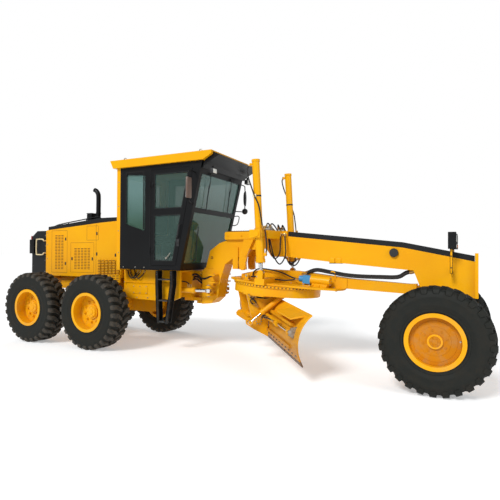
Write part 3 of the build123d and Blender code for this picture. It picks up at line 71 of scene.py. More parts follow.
forward = Vector((-math.sin(YAW) * math.cos(PITCH), math.cos(YAW) * math.cos(PITCH), math.sin(PITCH)))
level_right = forward.cross(Vector((0, 0, 1))).normalized()
level_up = level_right.cross(forward)
right = math.cos(ROLL) * level_right + math.sin(ROLL) * level_up
up = right.cross(forward)
camera_data = bpy.data.cameras.new("camera")
camera_data.lens = LENS
camera_data.shift_x = SHIFT_X
camera = bpy.data.objects.new("camera", camera_data)
camera.matrix_world = Matrix.Translation(EYE) @ Matrix((right, up, -forward)).transposed().to_4x4()
bpy.context.scene.collection.objects.link(camera)
bpy.context.scene.camera = camera
bpy.context.scene.view_settings.view_transform = "Standard"


class Shade:
    """One output of a node, for maths written as an expression."""

    def __init__(self, finish, socket):
        self.finish = finish
        self.socket = socket

    def step(self, operation, first, second=0.5):
        return self.finish.node("ShaderNodeMath", {"operation": operation}, {0: first, 1: second})

    def __add__(self, other):
        return self.step("ADD", self, other)

    __radd__ = __add__

    def __mul__(self, other):
        return self.step("MULTIPLY", self, other)

    __rmul__ = __mul__

    def __sub__(self, other):
        return self.step("SUBTRACT", self, other)

    def __rsub__(self, other):
        return self.step("SUBTRACT", other, self)

    def clamped(self):
        return self.finish.node("ShaderNodeMath", {"operation": "ADD", "use_clamp": True}, {0: self, 1: 0.0})


class Finish:
    """A material's node tree. node() adds a node from its type, its settings and its sockets."""

    def __init__(self, name, tree=None):
        if tree is None:
            self.material = bpy.data.materials.new(name)
            self.material.use_nodes = True
            tree = self.material.node_tree
            self.surface = tree.nodes["Principled BSDF"]
        self.tree = tree

    def node(self, kind, settings=None, sockets=None, output=0):
        made = self.tree.nodes.new(kind)
        for key, value in (settings or {}).items():
            setattr(made, key, value)
        for key, value in (sockets or {}).items():
            self.feed(made.inputs[key], value)
        return Shade(self, made.outputs[output])

    def feed(self, socket, value):
        if isinstance(value, Shade):
            self.tree.links.new(value.socket, socket)
        else:
            socket.default_value = value

    def set(self, **values):
        for key, value in values.items():
            self.feed(self.surface.inputs[key.replace("_", " ")], value)

    def place(self):
        return self.node("ShaderNodeTexCoord", output=3)

    def noise(self, scale, detail=4.0, roughness=0.55, stretch=None):
        where = self.place()
        if stretch:
            where = self.node("ShaderNodeMapping", None, {"Vector": where, "Scale": stretch})
        return self.node("ShaderNodeTexNoise", None,
                         {"Vector": where, "Scale": scale, "Detail": detail, "Roughness": roughness})

    def mix(self, share, first, second):
        return self.node("ShaderNodeMix", {"data_type": "RGBA"}, {0: share, 6: first, 7: second}, output=2)

    def ramp(self, value, low, high):
        return self.node("ShaderNodeMapRange", None, {0: value, 1: low, 2: high})

    def bump(self, height, strength, distance):
        return self.node("ShaderNodeBump", None,
                         {"Height": height, "Strength": strength, "Distance": distance})


world = bpy.data.worlds.new("studio")
world.use_nodes = True
bpy.context.scene.world = world
sky = Finish("sky", world.node_tree)
seen = sky.node("ShaderNodeLightPath", output=0)
seen = seen + sky.node("ShaderNodeLightPath", output=6)
sky_light = sky.node("ShaderNodeBackground", None, {"Color": (0.93, 0.97, 1.0, 1), "Strength": 0.42})
sky_seen = sky.node("ShaderNodeBackground", None, {"Color": (1, 1, 1, 1), "Strength": 1.0})
sky_mix = sky.node("ShaderNodeMixShader", None, {0: seen.clamped(), 1: sky_light, 2: sky_seen})
sky.feed(world.node_tree.nodes["World Output"].inputs["Surface"], sky_mix)

for lamp_name, kind, energy, size, place, target in (
        ("key", "SUN", 2.55, 0.3, (-1.5, -9.0, 8.0), (0.2, 0, 0.8)),
        ("front", "AREA", 260.0, 5.0, (11.0, -4.0, 5.0), (1.0, 0, 0.9)),
        ("rim", "AREA", 260.0, 6.0, (-8.0, 6.0, 7.0), (0, 0, 1.0))):
    lamp_data = bpy.data.lights.new(lamp_name, kind)
    lamp_data.energy = energy
    if kind == "SUN":
        lamp_data.angle = size
    else:
        lamp_data.size = size
    lamp = bpy.data.objects.new(lamp_name, lamp_data)
    lamp.matrix_world = Matrix.Translation(place) @ (
        Vector(place) - Vector(target)).to_track_quat("Z", "Y").to_matrix().to_4x4()
    bpy.context.scene.collection.objects.link(lamp)

floor_shape = bmesh.new()
bmesh.ops.create_grid(floor_shape, x_segments=1, y_segments=1, size=400)
floor_mesh = bpy.data.meshes.new("floor")
floor_shape.to_mesh(floor_mesh)
floor_shape.free()
floor = bpy.data.objects.new("floor", floor_mesh)
bpy.context.scene.collection.objects.link(floor)
pale = Finish("pale_floor")
pale.set(Base_Color=(0.8, 0.8, 0.8, 1), Roughness=0.95, Emission_Color=(1, 1, 1, 1), Emission_Strength=0.32)
floor_mesh.materials.append(pale.material)

# ---- chassis and painted steelwork ----
# The frames, axles, circle, drawbar, saddle and hood are welded plate and castings sprayed in one gloss
# enamel. Dust lies low down, and the film has a slight orange peel.

YELLOW = (0.76, 0.362, 0.002, 1)
YELLOW_DEEP = (0.74, 0.315, 0.002, 1)
ROAD_DUST = (0.33, 0.24, 0.13, 1)


def enamel(name, colour, deep, gloss, dust=0.35, coat=0.04, shine=0.15):
    """Sprayed paint in two tones, dusty below and with a slight orange peel."""
    film = Finish(name)
    broad = film.ramp(film.noise(1.3, 3.0), 0.35, 0.7)
    tone = film.mix(broad, colour, deep)
    height = film.node("ShaderNodeSeparateXYZ", None, {0: film.place()}, output=2)
    settled = film.ramp(film.noise(9.0, 6.0, 0.65), 0.46, 0.72) * (1 - film.ramp(height, 0.3, 1.5)) * dust
    film.set(Base_Color=film.mix(settled.clamped(), tone, ROAD_DUST),
             Roughness=gloss + settled * 0.5 + film.noise(38.0, 2.0) * 0.06,
             Normal=film.bump(film.noise(420.0, 2.0), 0.05, 0.001),
             Coat_Weight=coat, Coat_Roughness=0.12, Specular_IOR_Level=shine)
    return film


def mottled(name, grain, first, second, **rest):
    """A finish of two shades in patches."""
    film = Finish(name)
    film.set(Base_Color=film.mix(film.noise(grain), (*first, 1), (*second, 1)), **rest)
    return film


yellow_paint = enamel("yellow_enamel", YELLOW, YELLOW_DEEP, 0.3)
grey_paint = enamel("slate_enamel", (0.008, 0.009, 0.010, 1), (0.009, 0.010, 0.011, 1), 0.42, 0.15, 0.03,
                    0.20)
black_paint = enamel("black_enamel", (0.006, 0.0065, 0.007, 1), (0.004, 0.004, 0.0045, 1), 0.36, 0.08, 0.02,
                     0.16)
blue_paint = enamel("blue_enamel", (0.06, 0.27, 0.53, 1), (0.05, 0.21, 0.45, 1), 0.3, 0.2)


def repaint(paint, *starts):
    """Gives a paint to the CAD nodes whose names start so."""
    for name in nodes:
        if name.startswith(starts):
            nodes[name].data.materials.clear()
            nodes[name].data.materials.append(paint.material)


# a later call wins: the engine is black but engine_hood yellow, the circle yellow but circle_motor blue
repaint(black_paint, "exhaust_stack", "cab_frame", "cab_visor", "cab_mirrors", "seat", "control_console",
        "headlamps", "cab_door", "lean_bar", "tie_rod", "engine")
repaint(yellow_paint, "artic_barrel", "lift_barrel", "lean_bracket", "knuckle", "rim_", "rear_frame",
        "tandem_drive", "engine_hood", "cab_rear_wall", "cab_roof", "front_frame", "lift_saddle",
        "front_axle", "drawbar", "circle", "blade_bracket", "moldboard", "tip_barrel")
repaint(grey_paint, "hood_cover", "frame_cover", "access_ladders", "radiator_guard")
repaint(blue_paint, "circle_motor")

chrome = Finish("hard_chrome")
chrome.set(Base_Color=(0.72, 0.73, 0.74, 1), Metallic=1.0, Roughness=0.12 + chrome.noise(160.0, 2.0) * 0.08)
worn = Finish("worn_steel")
worn.set(Base_Color=worn.mix(worn.ramp(worn.noise(14.0, 6.0), 0.4, 0.65), (0.34, 0.32, 0.30, 1),
                             (0.16, 0.10, 0.06, 1)),
         Metallic=0.8, Roughness=0.35 + worn.noise(60.0) * 0.25)
repaint(chrome, "shift_rod", "tip_rod", "artic_rod", "lift_rod")

glass = Finish("tinted_glass")
# The panes are painted lighter and clearer towards the top, a painted reflection of the sky, broken up by
# noise.
pane_height = glass.node("ShaderNodeSeparateXYZ", None, {"Vector": glass.place()}, output=2)
pane_height = (glass.ramp(pane_height, 2.25, 2.85) + (glass.noise(1.5) - 0.5) * 0.3).clamped()
glass.set(Base_Color=glass.mix(pane_height, (0.040, 0.090, 0.062, 1), (0.125, 0.235, 0.220, 1)),
          Roughness=0.03, Alpha=0.86 - pane_height * 0.26)
repaint(glass, "cab_glass")

# ---- tyres ----
# Six 17.5-25 cross-ply tyres with a traction tread: chevron lugs moulded in halves, staggered across the
# middle, each lug turning down over the shoulder. The beads are seated on the rims by air pressure.

TYRE_RADIUS = (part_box("tyre_front_right")[1].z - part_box("tyre_front_right")[0].z) / 2
LUGS = 28
TREAD_FLOOR = TYRE_RADIUS - 0.032
TURN_STEPS = 84

rubber = Finish("tyre_rubber")
grime = rubber.ramp(rubber.noise(7.0, 6.0, 0.6), 0.45, 0.75)
rubber.set(Base_Color=rubber.mix(grime, (0.009, 0.010, 0.008, 1), (0.020, 0.018, 0.014, 1)),
           Roughness=0.62 + grime * 0.3, Specular_IOR_Level=0.2,
           Normal=rubber.bump(rubber.noise(260.0, 3.0), 0.15, 0.002))
tread_rubber = Finish("tread_rubber")
scuff = tread_rubber.ramp(tread_rubber.noise(22.0, 6.0, 0.65), 0.4, 0.7)
tread_rubber.set(Base_Color=tread_rubber.mix(scuff, (0.018, 0.016, 0.012, 1), (0.070, 0.055, 0.038, 1)),
                 Roughness=0.75 + scuff * 0.2, Normal=tread_rubber.bump(tread_rubber.noise(140.0, 4.0), 0.3,
                                                                        0.003))


def finished(name, shape, paints, body, slot, angle=35):
    """Makes a piece from a bmesh: shaded smooth below an angle, riding on a body. The slot is not used."""
    mesh = bpy.data.meshes.new(name)
    bmesh.ops.recalc_face_normals(shape, faces=shape.faces)
    shape.to_mesh(mesh)
    shape.free()
    for paint in paints if isinstance(paints, tuple) else (paints,):
        mesh.materials.append(paint.material)
    mesh.polygons.foreach_set("use_smooth", [True] * len(mesh.polygons))
    mesh.set_sharp_from_angle(angle=math.radians(angle))
    piece = bpy.data.objects.new(name, mesh)
    bpy.context.scene.collection.objects.link(piece)
    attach(piece, body)
    return piece


def loft(shape, rings, capped=True, material=0):
    """Skins a row of rings that have equally many points."""
    rows = [[shape.verts.new(point) for point in ring] for ring in rings]
    count = len(rows[0])
    made = []
    for first, second in zip(rows, rows[1:]):
        for i in range(count):
            j = (i + 1) % count
            made.append(shape.faces.new((first[i], first[j], second[j], second[i])))
    if capped:
        made.append(shape.faces.new(rows[0]))
        made.append(shape.faces.new(rows[-1]))
    for face in made:
        face.material_index = material
    return made


# radius and distance from the tyre's middle plane, from the bead round to the tread's floor
CASING = [(0.330, 0.196), (0.356, 0.200), (0.366, 0.203), (0.374, 0.212), (0.392, 0.214), (0.398, 0.209),
          (0.440, 0.2195), (0.452, 0.2235), (0.462, 0.2225), (0.500, 0.2228), (0.540, 0.2220),
          (0.548, 0.2235), (0.556, 0.2215), (0.590, 0.2160), (0.616, 0.2060), (0.634, 0.1900),
          (TREAD_FLOOR, 0.165)]
# along the lug: offset round the tyre, distance from the middle, top radius, root radius, half width
LUG = [(-0.062, 0.004, 0.672, 0.640, 0.024), (-0.020, 0.060, 0.6735, 0.640, 0.031),
       (0.004, 0.092, 0.6735, 0.640, 0.035), (0.012, 0.130, 0.673, 0.640, 0.036),
       (0.016, 0.178, 0.671, 0.636, 0.037), (0.018, 0.204, 0.655, 0.620, 0.037),
       (0.019, 0.2205, 0.622, 0.600, 0.035), (0.020, 0.2225, 0.592, 0.585, 0.030)]

tyre_shape = bmesh.new()
outline = CASING + [(r, -y) for r, y in reversed(CASING)]
row = [tyre_shape.verts.new((r, y, 0)) for r, y in outline]
edges = [tyre_shape.edges.new(pair) for pair in zip(row, row[1:])]
bmesh.ops.spin(tyre_shape, geom=row + edges, cent=(0, 0, 0), axis=(0, 1, 0), dvec=(0, 0, 0), angle=math.tau,
               steps=TURN_STEPS, use_merge=True)
for half in (1, -1):
    for i in range(LUGS):
        turn = math.tau * (i + 0.5 - half * 0.25) / LUGS
        rings = []
        for offset, across, top, root, width in LUG:
            ring = []
            for radius, side in ((root, -1.35), (top, -1), (top, 1), (root, 1.35)):
                inward = 0.012 if radius == root and across > 0.2 else 0
                angle = turn + (offset + side * width) / TYRE_RADIUS
                ring.append((radius * math.cos(angle), half * (across - inward), radius * math.sin(angle)))
            rings.append(ring)
        loft(tyre_shape, rings, material=1)

for name in [name for name in nodes if name.startswith("tyre_")]:
    low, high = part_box(name)
    shape = tyre_shape.copy()
    flip = Matrix.Rotation(math.pi, 4, "Z") if low.y > 0 else Matrix()
    bmesh.ops.transform(shape, matrix=Matrix.Translation((low + high) / 2) @ flip, verts=shape.verts)
    tread = rubber if "front" in name else tread_rubber
    piece = finished(f"{name}_treaded", shape, (rubber, tread), name.replace("tyre", "wheel"), "tyre_rubber")
    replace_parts(piece, name)
tyre_shape.free()

# ---- wheel nuts, hub caps and valves ----
# Each rim is held to its hub by a ring of cone nuts on studs. The rear hubs carry a planetary cover with its
# own screws; the front ones a smaller grease cap.


def around(middle, radius, count, first=X, second=Z, start=0.0):
    """Points spaced evenly round a circle that lies along two directions."""
    turns = [math.tau * (k + start) / count for k in range(count)]
    return [Vector(middle) + radius * (first * math.cos(turn) + second * math.sin(turn)) for turn in turns]


def bar(shape, start, end, radius, far_radius=None, sides=20):
    """Round bar between two points, or a cone."""
    start, end = Vector(start), Vector(end)
    turned = (end - start).to_track_quat("Z", "Y").to_matrix().to_4x4()
    return bmesh.ops.create_cone(shape, cap_ends=True, segments=sides, radius1=radius,
                                 radius2=radius if far_radius is None else far_radius,
                                 depth=(end - start).length,
                                 matrix=Matrix.Translation((start + end) / 2) @ turned)["verts"]


def nut(shape, place, axis, size):
    """Hexagon head on its washer, standing on a face."""
    place, axis = Vector(place), Vector(axis).normalized()
    bar(shape, place, place + axis * size * 0.2, size * 1.25, sides=16)
    bar(shape, place + axis * size * 0.2, place + axis * size * 0.95, size * 1.02, size * 0.94, sides=6)
    bar(shape, place + axis * size * 0.95, place + axis * size * 1.25, size * 0.5, sides=10)


# A darker, deeper orange copy of the yellow enamel, with dust: painted shade on the front wheels' dishes,
# hubs and nuts.
dish_painted_shade = enamel("wheel_dish_painted_shade", (0.56, 0.205, 0.002, 1), (0.48, 0.165, 0.002, 1), 0.5, 0.5, 0.0,
                    0.10)
zinc = Finish("plated_steel")
zinc.set(Base_Color=zinc.mix(zinc.ramp(zinc.noise(30.0, 5.0), 0.4, 0.7), (0.42, 0.40, 0.36, 1),
                             (0.25, 0.20, 0.14, 1)),
         Metallic=0.7, Roughness=0.4 + zinc.noise(90.0) * 0.2)

for name in [name for name in nodes if name.startswith("rim_")]:
    low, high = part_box(name)
    side = 1 if low.y > 0 else -1
    steered = "front" in name
    paint = dish_painted_shade if steered else yellow_paint
    body = name.replace("rim", "wheel")
    centre = (low + high) / 2
    outer = high.y if side > 0 else low.y
    hub = Vector((centre.x, outer - side * (0.100 if steered else 0.180), centre.z))
    out = Y * side
    studs = bmesh.new()
    count, reach, size = (8, 0.140, 0.012) if steered else (10, 0.185, 0.019)
    for spot in around(hub, reach, count, start=0.3):
        bar(studs, spot, spot + out * 0.012, size * 1.5, size * 1.2)
        nut(studs, spot + out * 0.012, out, size)
    finished(f"{name}_nuts", studs, paint, body, "yellow_paint")
    dress = bmesh.new()
    cap = 0.074 if steered else 0.112
    # On the front wheels three flat discs over the dish carry the painted shade.
    if steered:
        for thick, radius, far_radius in ((0.005, 0.300, 0.297), (0.010, 0.254, 0.250),
                                          (0.015, 0.182, 0.178)):
            bar(dress, hub, hub + out * thick, radius, far_radius, 64)
    bar(dress, hub, hub + out * 0.030, cap + 0.016)
    bar(dress, hub + out * 0.030, hub + out * 0.052, cap, cap * 0.86, 40)
    bar(dress, hub + out * 0.052, hub + out * 0.060, cap * 0.45, cap * 0.4, 24)
    for spot in around(hub + out * 0.052, cap * 0.72, 6):
        bar(dress, spot, spot + out * 0.008, 0.008, 0.007, 6)
    for spot in around(hub, 0.262, 4, start=0.5):
        bar(dress, spot, spot + out * 0.004, 0.030, 0.028, 24)
    bmesh.ops.create_cone(dress, cap_ends=False, segments=64, radius1=0.309, radius2=0.326, depth=0.02,
                          matrix=Matrix.Translation((centre.x, outer - side * 0.012, centre.z))
                          @ Matrix.Rotation(-side * math.pi / 2, 4, "X"))
    finished(f"{name}_hub", dress, paint, body, "yellow_paint")
    valve = bmesh.new()
    root = hub + Vector((0.292, side * 0.03, 0.03))
    bar(valve, root, root + out * 0.05 - X * 0.010, 0.006, sides=10)
    bar(valve, root + out * 0.045 - X * 0.010, root + out * 0.07 - X * 0.012, 0.009, sides=10)
    finished(f"{name}_valve", valve, zinc, body, "steel")

# ---- hood: louvres, seams and latches ----
# The engine covers are pressed sheet doors. Air leaves through columns of slots lanced in the sheet, each
# under its own small hood. The doors hang on hidden hinges and close with flush paddle latches.


def slab(shape, low, high, soft=0.0):
    """Box between two corners, its edges rounded when soft is above 0."""
    low, high = Vector(low), Vector(high)
    place = Matrix.Translation((low + high) / 2) @ Matrix.Diagonal((high - low).to_4d())
    made = bmesh.ops.create_cube(shape, size=1, matrix=place)["verts"]
    if soft:
        edges = list({edge for vert in made for edge in vert.link_edges})
        bmesh.ops.bevel(shape, geom=edges, offset=soft, affect="EDGES", segments=2, profile=0.5, material=-1)


def prism(shape, points, shift):
    """Plate with the outline given, thick along shift."""
    points = [Vector(point) for point in points]
    loft(shape, [points, [point + Vector(shift) for point in points]])


def sided(side, *points):
    """Points given for the left side, on the side asked for."""
    return [(x, side * y, z) for x, y, z in points]


def hose(shape, points, radius, sides=10, steps=6):
    """Round hose or bent tube through its points, on a smooth curve."""
    points = [Vector(point) for point in points]
    ends = [2 * points[0] - points[1]] + points + [2 * points[-1] - points[-2]]
    line = []
    for a, b, c, d in zip(ends, ends[1:], ends[2:], ends[3:]):
        for i in range(steps):
            t = i / steps
            line.append(0.5 * (2 * b + (c - a) * t + (2 * a - 5 * b + 4 * c - d) * t * t
                               + (3 * b - a - 3 * c + d) * t ** 3))
    line.append(points[-1])
    across = (line[1] - line[0]).orthogonal().normalized()
    rings = []
    for i, spot in enumerate(line):
        ahead = (line[min(i + 1, len(line) - 1)] - line[max(i - 1, 0)]).normalized()
        across = (across - ahead * across.dot(ahead)).normalized()
        level = ahead.cross(across)
        rings.append(around(spot, radius, sides, across, level))
    loft(shape, rings)


slot_dark = mottled("slot_shadow", 40.0, (0.110, 0.045, 0.005), (0.160, 0.070, 0.008), Roughness=0.9)
plastic = Finish("black_plastic")
plastic.set(Base_Color=plastic.mix(plastic.noise(30.0), (0.014, 0.014, 0.015, 1), (0.022, 0.022, 0.023, 1)),
            Roughness=0.45 + plastic.noise(200.0) * 0.15, Specular_IOR_Level=0.35)

HOOD_SIDE = 0.575
SIDE_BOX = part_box("engine_hood")[1].y
LOUVRES = (  # rear and front X, bottom and top Z, face, columns
    (-3.600, -3.337, 1.404, 2.134, HOOD_SIDE, 3),
    (-3.049, -2.598, 1.415, 1.861, HOOD_SIDE, 5),
    (-2.380, -1.820, 1.217, 1.631, SIDE_BOX, 6))
SLOT_PITCH = 0.031
HOOD_RISE = 0.085  # rise of the hood's top over its length

for side, side_name in SIDES:
    gaps = bmesh.new()
    hoods = bmesh.new()
    for rear, front, bottom, top, face, columns in LOUVRES:
        pitch = (front - rear) / columns
        y = side * face
        for column in range(columns):
            x = rear + pitch * (column + 0.16)
            for k in range(int((top - bottom) / SLOT_PITCH)):
                z = bottom + SLOT_PITCH * k
                slab(gaps, (x, y - side * 0.004, z), (x + pitch * 0.68, y + side * 0.0012, z + 0.015))
                rim = [(x - 0.003, y, z + 0.024), (x - 0.003, y + side * 0.007, z + 0.014),
                       (x - 0.003, y, z + 0.014)]
                prism(hoods, rim, (pitch * 0.68 + 0.006, 0, 0))
    finished(f"hood_slots_{side_name}", gaps, slot_dark, "rear_chassis", "yellow_paint")
    finished(f"hood_louvres_{side_name}", hoods, yellow_paint, "rear_chassis", "yellow_paint")
    seams = bmesh.new()
    y = side * HOOD_SIDE
    for rear, front, bottom, top in ((-3.690, -3.245, 1.330, 2.195), (-3.140, -2.510, 1.345, 1.940),
                                     (-2.700, -2.395, 1.99, 2.27)):
        for low, high in (((rear, bottom), (front, bottom + 0.005)), ((rear, top), (front, top + 0.005)),
                          ((rear, bottom), (rear + 0.005, top)), ((front, bottom), (front + 0.005, top))):
            slab(seams, (low[0], y - side * 0.003, low[1]), (high[0], y + side * 0.001, high[1]))
    slab(seams, (-2.452, y - side * 0.003, 1.28), (-2.447, y + side * 0.001, 2.30))
    finished(f"hood_seams_{side_name}", seams, slot_dark, "rear_chassis", "yellow_paint")
    fittings = bmesh.new()
    for x, z in ((-3.285, 1.52), (-3.285, 2.02), (-3.10, 1.62), (-2.545, 1.62), (-2.43, 2.12), (-2.43, 1.72),
                 (-1.95, 1.70)):
        reach = SIDE_BOX if z < 1.66 and x > -2.3 else HOOD_SIDE
        slab(fittings, (x - 0.016, side * reach, z - 0.03), (x + 0.016, side * (reach + 0.008), z + 0.03),
             0.004)
        bar(fittings, (x, side * reach, z - 0.012), (x, side * (reach + 0.013), z - 0.012), 0.008, sides=12)
    finished(f"hood_latches_{side_name}", fittings, plastic, "rear_chassis", "black_plastic")
    screws = bmesh.new()
    for x, heights in ((-3.82, (1.33, 1.62, 1.91, 2.15)), (-1.86, (1.72, 1.96, 2.20))):
        for z in heights:
            nut(screws, (x, side * HOOD_SIDE, z), Y * side, 0.008)
    for x in (-2.36, -2.20, -2.04, -1.88, -1.72):
        nut(screws, (x, side * (SIDE_BOX if x < -1.82 else SIDE_BOX - 0.03), 1.195), Y * side, 0.008)
    finished(f"hood_screws_{side_name}", screws, zinc, "rear_chassis", "steel")
    rail = bmesh.new()
    hose(rail, sided(side, (-3.66, 0.505, 2.24), (-3.62, 0.505, 2.315), (-3.0, 0.49, 2.40),
                     (-2.5, 0.48, 2.455), (-2.42, 0.48, 2.41)), 0.011, 8)
    for x, z in ((-3.3, 2.36), (-2.8, 2.42)):
        bar(rail, (x, side * 0.495, z), (x, side * 0.495, z - 0.08), 0.009, sides=8)
    finished(f"hood_handrail_{side_name}", rail, black_paint, "rear_chassis", "black_paint")

top_dress = bmesh.new()
for x in (-3.55, -3.15, -2.30):
    z = 2.31 + (x + 3.862) * HOOD_RISE
    slab(top_dress, (x - 0.16, -0.30, z - 0.02), (x + 0.16, 0.30, z + 0.012), 0.006)
bar(top_dress, (-2.05, -0.25, 2.43), (-2.05, -0.25, 2.475), 0.055, sides=28)
bar(top_dress, (-2.05, -0.25, 2.475), (-2.05, -0.25, 2.49), 0.065, 0.055, sides=28)
bar(top_dress, (-1.90, 0.22, 2.43), (-1.90, 0.22, 2.50), 0.04, sides=24)
hose(top_dress, [(-2.02, -0.42, 2.43), (-2.02, -0.42, 2.475), (-1.90, -0.42, 2.475), (-1.90, -0.42, 2.43)],
     0.009, 8)
finished("hood_top_fittings", top_dress, grey_paint, "rear_chassis", "grey_paint")

# ---- exhaust stack and pre-cleaner ----
# The stack is one bent steel tube, welded to a flange on the muffler below the cover. The square
# pre-cleaner of the air intake stands behind it, slotted and under a lid.

STACK_X = -2.662
STACK_Y = -0.30
box_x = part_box("exhaust_stack")[0].x
stack = bmesh.new()
hose(stack, [(STACK_X, STACK_Y, 2.38), (STACK_X, STACK_Y, 2.60), (STACK_X, STACK_Y, 2.86),
             (STACK_X - 0.012, STACK_Y, 2.945), (STACK_X - 0.055, STACK_Y, 3.005),
             (STACK_X - 0.105, STACK_Y, 3.030)], 0.046, 24, 8)
bar(stack, (STACK_X, STACK_Y, 2.385), (STACK_X, STACK_Y, 2.402), 0.085, sides=28)
bar(stack, (STACK_X, STACK_Y, 2.402), (STACK_X, STACK_Y, 2.43), 0.058, 0.05, sides=28)
bar(stack, (STACK_X, STACK_Y, 2.53), (STACK_X, STACK_Y, 2.56), 0.052, sides=28)
for spot in around((STACK_X, STACK_Y, 2.402), 0.07, 4, X, Y, 0.5):
    nut(stack, spot, Z, 0.008)
slab(stack, (box_x, STACK_Y - 0.075, 2.40), (box_x + 0.135, STACK_Y + 0.075, 2.535), 0.012)
slab(stack, (box_x - 0.004, STACK_Y - 0.079, 2.535), (box_x + 0.139, STACK_Y + 0.079, 2.555), 0.006)
for z in (2.43, 2.455, 2.48, 2.505):
    slab(stack, (box_x + 0.01, STACK_Y - 0.078, z), (box_x + 0.125, STACK_Y - 0.074, z + 0.010))
    slab(stack, (box_x - 0.003, STACK_Y - 0.06, z), (box_x + 0.003, STACK_Y + 0.06, z + 0.010))
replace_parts(finished("exhaust_and_precleaner", stack, black_paint, "rear_chassis", "black_paint"),
            "exhaust_stack")
# A disc in the shadow colour at the stack's open end: painted shade inside the tube.
stack_mouth_shade = bmesh.new()
mouth = Vector((STACK_X - 0.1055, STACK_Y, 3.0302))
bar(stack_mouth_shade, mouth, mouth + Vector((-0.002, 0, 0.001)), 0.038, sides=24)
finished("exhaust_mouth", stack_mouth_shade, slot_dark, "rear_chassis", "black_paint")

# ---- radiator guard ----
# A cast and plate guard closes the rear of the hood. Its back is a hinged grille of flat bars over the
# radiator, with tail lamps in its posts. A grab handle is bolted to each side.

GUARD_SIDE = 0.565
guard_low, guard_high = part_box("radiator_guard")
grille = bmesh.new()
for i in range(17):
    z = guard_low.z + 0.12 + i * 0.044
    slab(grille, (guard_low.x - 0.002, -0.40, z), (guard_low.x + 0.012, 0.40, z + 0.014), 0.003)
for y in (-0.42, 0.0, 0.42):
    slab(grille, (guard_low.x, y - 0.02, guard_low.z + 0.06),
         (guard_low.x + 0.014, y + 0.02, guard_high.z - 0.12), 0.004)
for side in (1, -1):
    slab(grille, (guard_low.x + 0.02, side * GUARD_SIDE, 1.72), (guard_low.x + 0.16, side * 0.605, 2.02),
         0.01)
    for k in range(5):
        slab(grille, (guard_low.x + 0.04, side * 0.604, 1.76 + k * 0.05),
             (guard_low.x + 0.14, side * 0.607, 1.775 + k * 0.05))
finished("radiator_grille", grille, black_paint, "rear_chassis", "black_paint")
cream = mottled("cream_enamel", 12.0, (0.72, 0.60, 0.36), (0.60, 0.48, 0.26), Roughness=0.4)
loops = bmesh.new()
for side in (1, -1):
    x0, x1, z0, z1 = guard_high.x - 0.235, guard_high.x - 0.015, 1.70, 2.02
    y0, y1 = side * GUARD_SIDE, side * 0.625
    hose(loops, [(x1, y0, z1 - 0.03), (x1, y1, z1 - 0.03), (x1 - 0.03, y1, z1), (x0 + 0.03, y1, z1),
                 (x0, y1, z1 - 0.03), (x0, y1, z0 + 0.03), (x0 + 0.03, y1, z0), (x1 - 0.03, y1, z0),
                 (x1, y1, z0 + 0.03), (x1, y0, z0 + 0.03)], 0.013, 10)
finished("guard_handles", loops, cream, "rear_chassis", "yellow_paint")
red_lens = mottled("red_lens", 9.0, (0.42, 0.010, 0.008), (0.34, 0.008, 0.006), Roughness=0.15)
tails = bmesh.new()
for side in (1, -1):
    slab(tails, (guard_low.x - 0.012, side * 0.46, 1.98), (guard_low.x + 0.004, side * 0.54, 2.10), 0.006)
finished("tail_lamps", tails, red_lens, "rear_chassis", "black_plastic")
bolts = bmesh.new()
for side in (1, -1):
    for z in (1.34, 1.58, 1.88, 2.10):
        nut(bolts, (guard_high.x - 0.03, side * GUARD_SIDE, z), Y * side, 0.009)
for y in (-0.42, 0.42):
    for z in (1.40, 1.75, 2.04):
        nut(bolts, (guard_low.x, y, z), -X, 0.009)
finished("guard_bolts", bolts, zinc, "rear_chassis", "steel")

# ---- cab doors ----
# Each door is a welded tube frame with a mid rail. Two panes of tinted safety glass sit in rubber beads.
# It swings on two hinges at the rear post and latches to the front post with a lever handle.

gasket = mottled("rubber_bead", 60.0, (0.010, 0.010, 0.010), (0.018, 0.018, 0.018), Roughness=0.8,
                 Specular_IOR_Level=0.2)
pane_glass = mottled("door_glass", 2.0, (0.045, 0.085, 0.072), (0.060, 0.105, 0.090), Roughness=0.03,
                     Alpha=0.52)
CAB_SIDE = 0.78
DOOR_REAR = -0.961
DOOR_BOTTOM = 1.525
DOOR_TOP = 3.215
DOOR_LEAN = 0.343 / (DOOR_TOP - DOOR_BOTTOM)
STILE = 0.072
RAIL_BOTTOM = 2.415
RAIL_TOP = 2.515
HINGE_X = -0.967


def door_front(z):
    """X of the door's sloping front edge."""
    return -0.423 + (z - DOOR_BOTTOM) * DOOR_LEAN


def framed(shape, corners, width, y, depth):
    """Frame of bars just inside a four-cornered opening in a side wall."""
    middle = sum((Vector((x, 0, z)) for x, z in corners), Vector()) / 4
    loops = []
    for inset in (0, width):
        loop = []
        for x, z in corners:
            toward = Vector((x, 0, z)) - middle
            loop.append((x - math.copysign(inset, toward.x), z - math.copysign(inset, toward.z)))
        loops.append(loop)
    for i in range(4):
        j = (i + 1) % 4
        prism(shape, [(x, y, z) for x, z in (loops[0][i], loops[0][j], loops[1][j], loops[1][i])],
              (0, depth, 0))


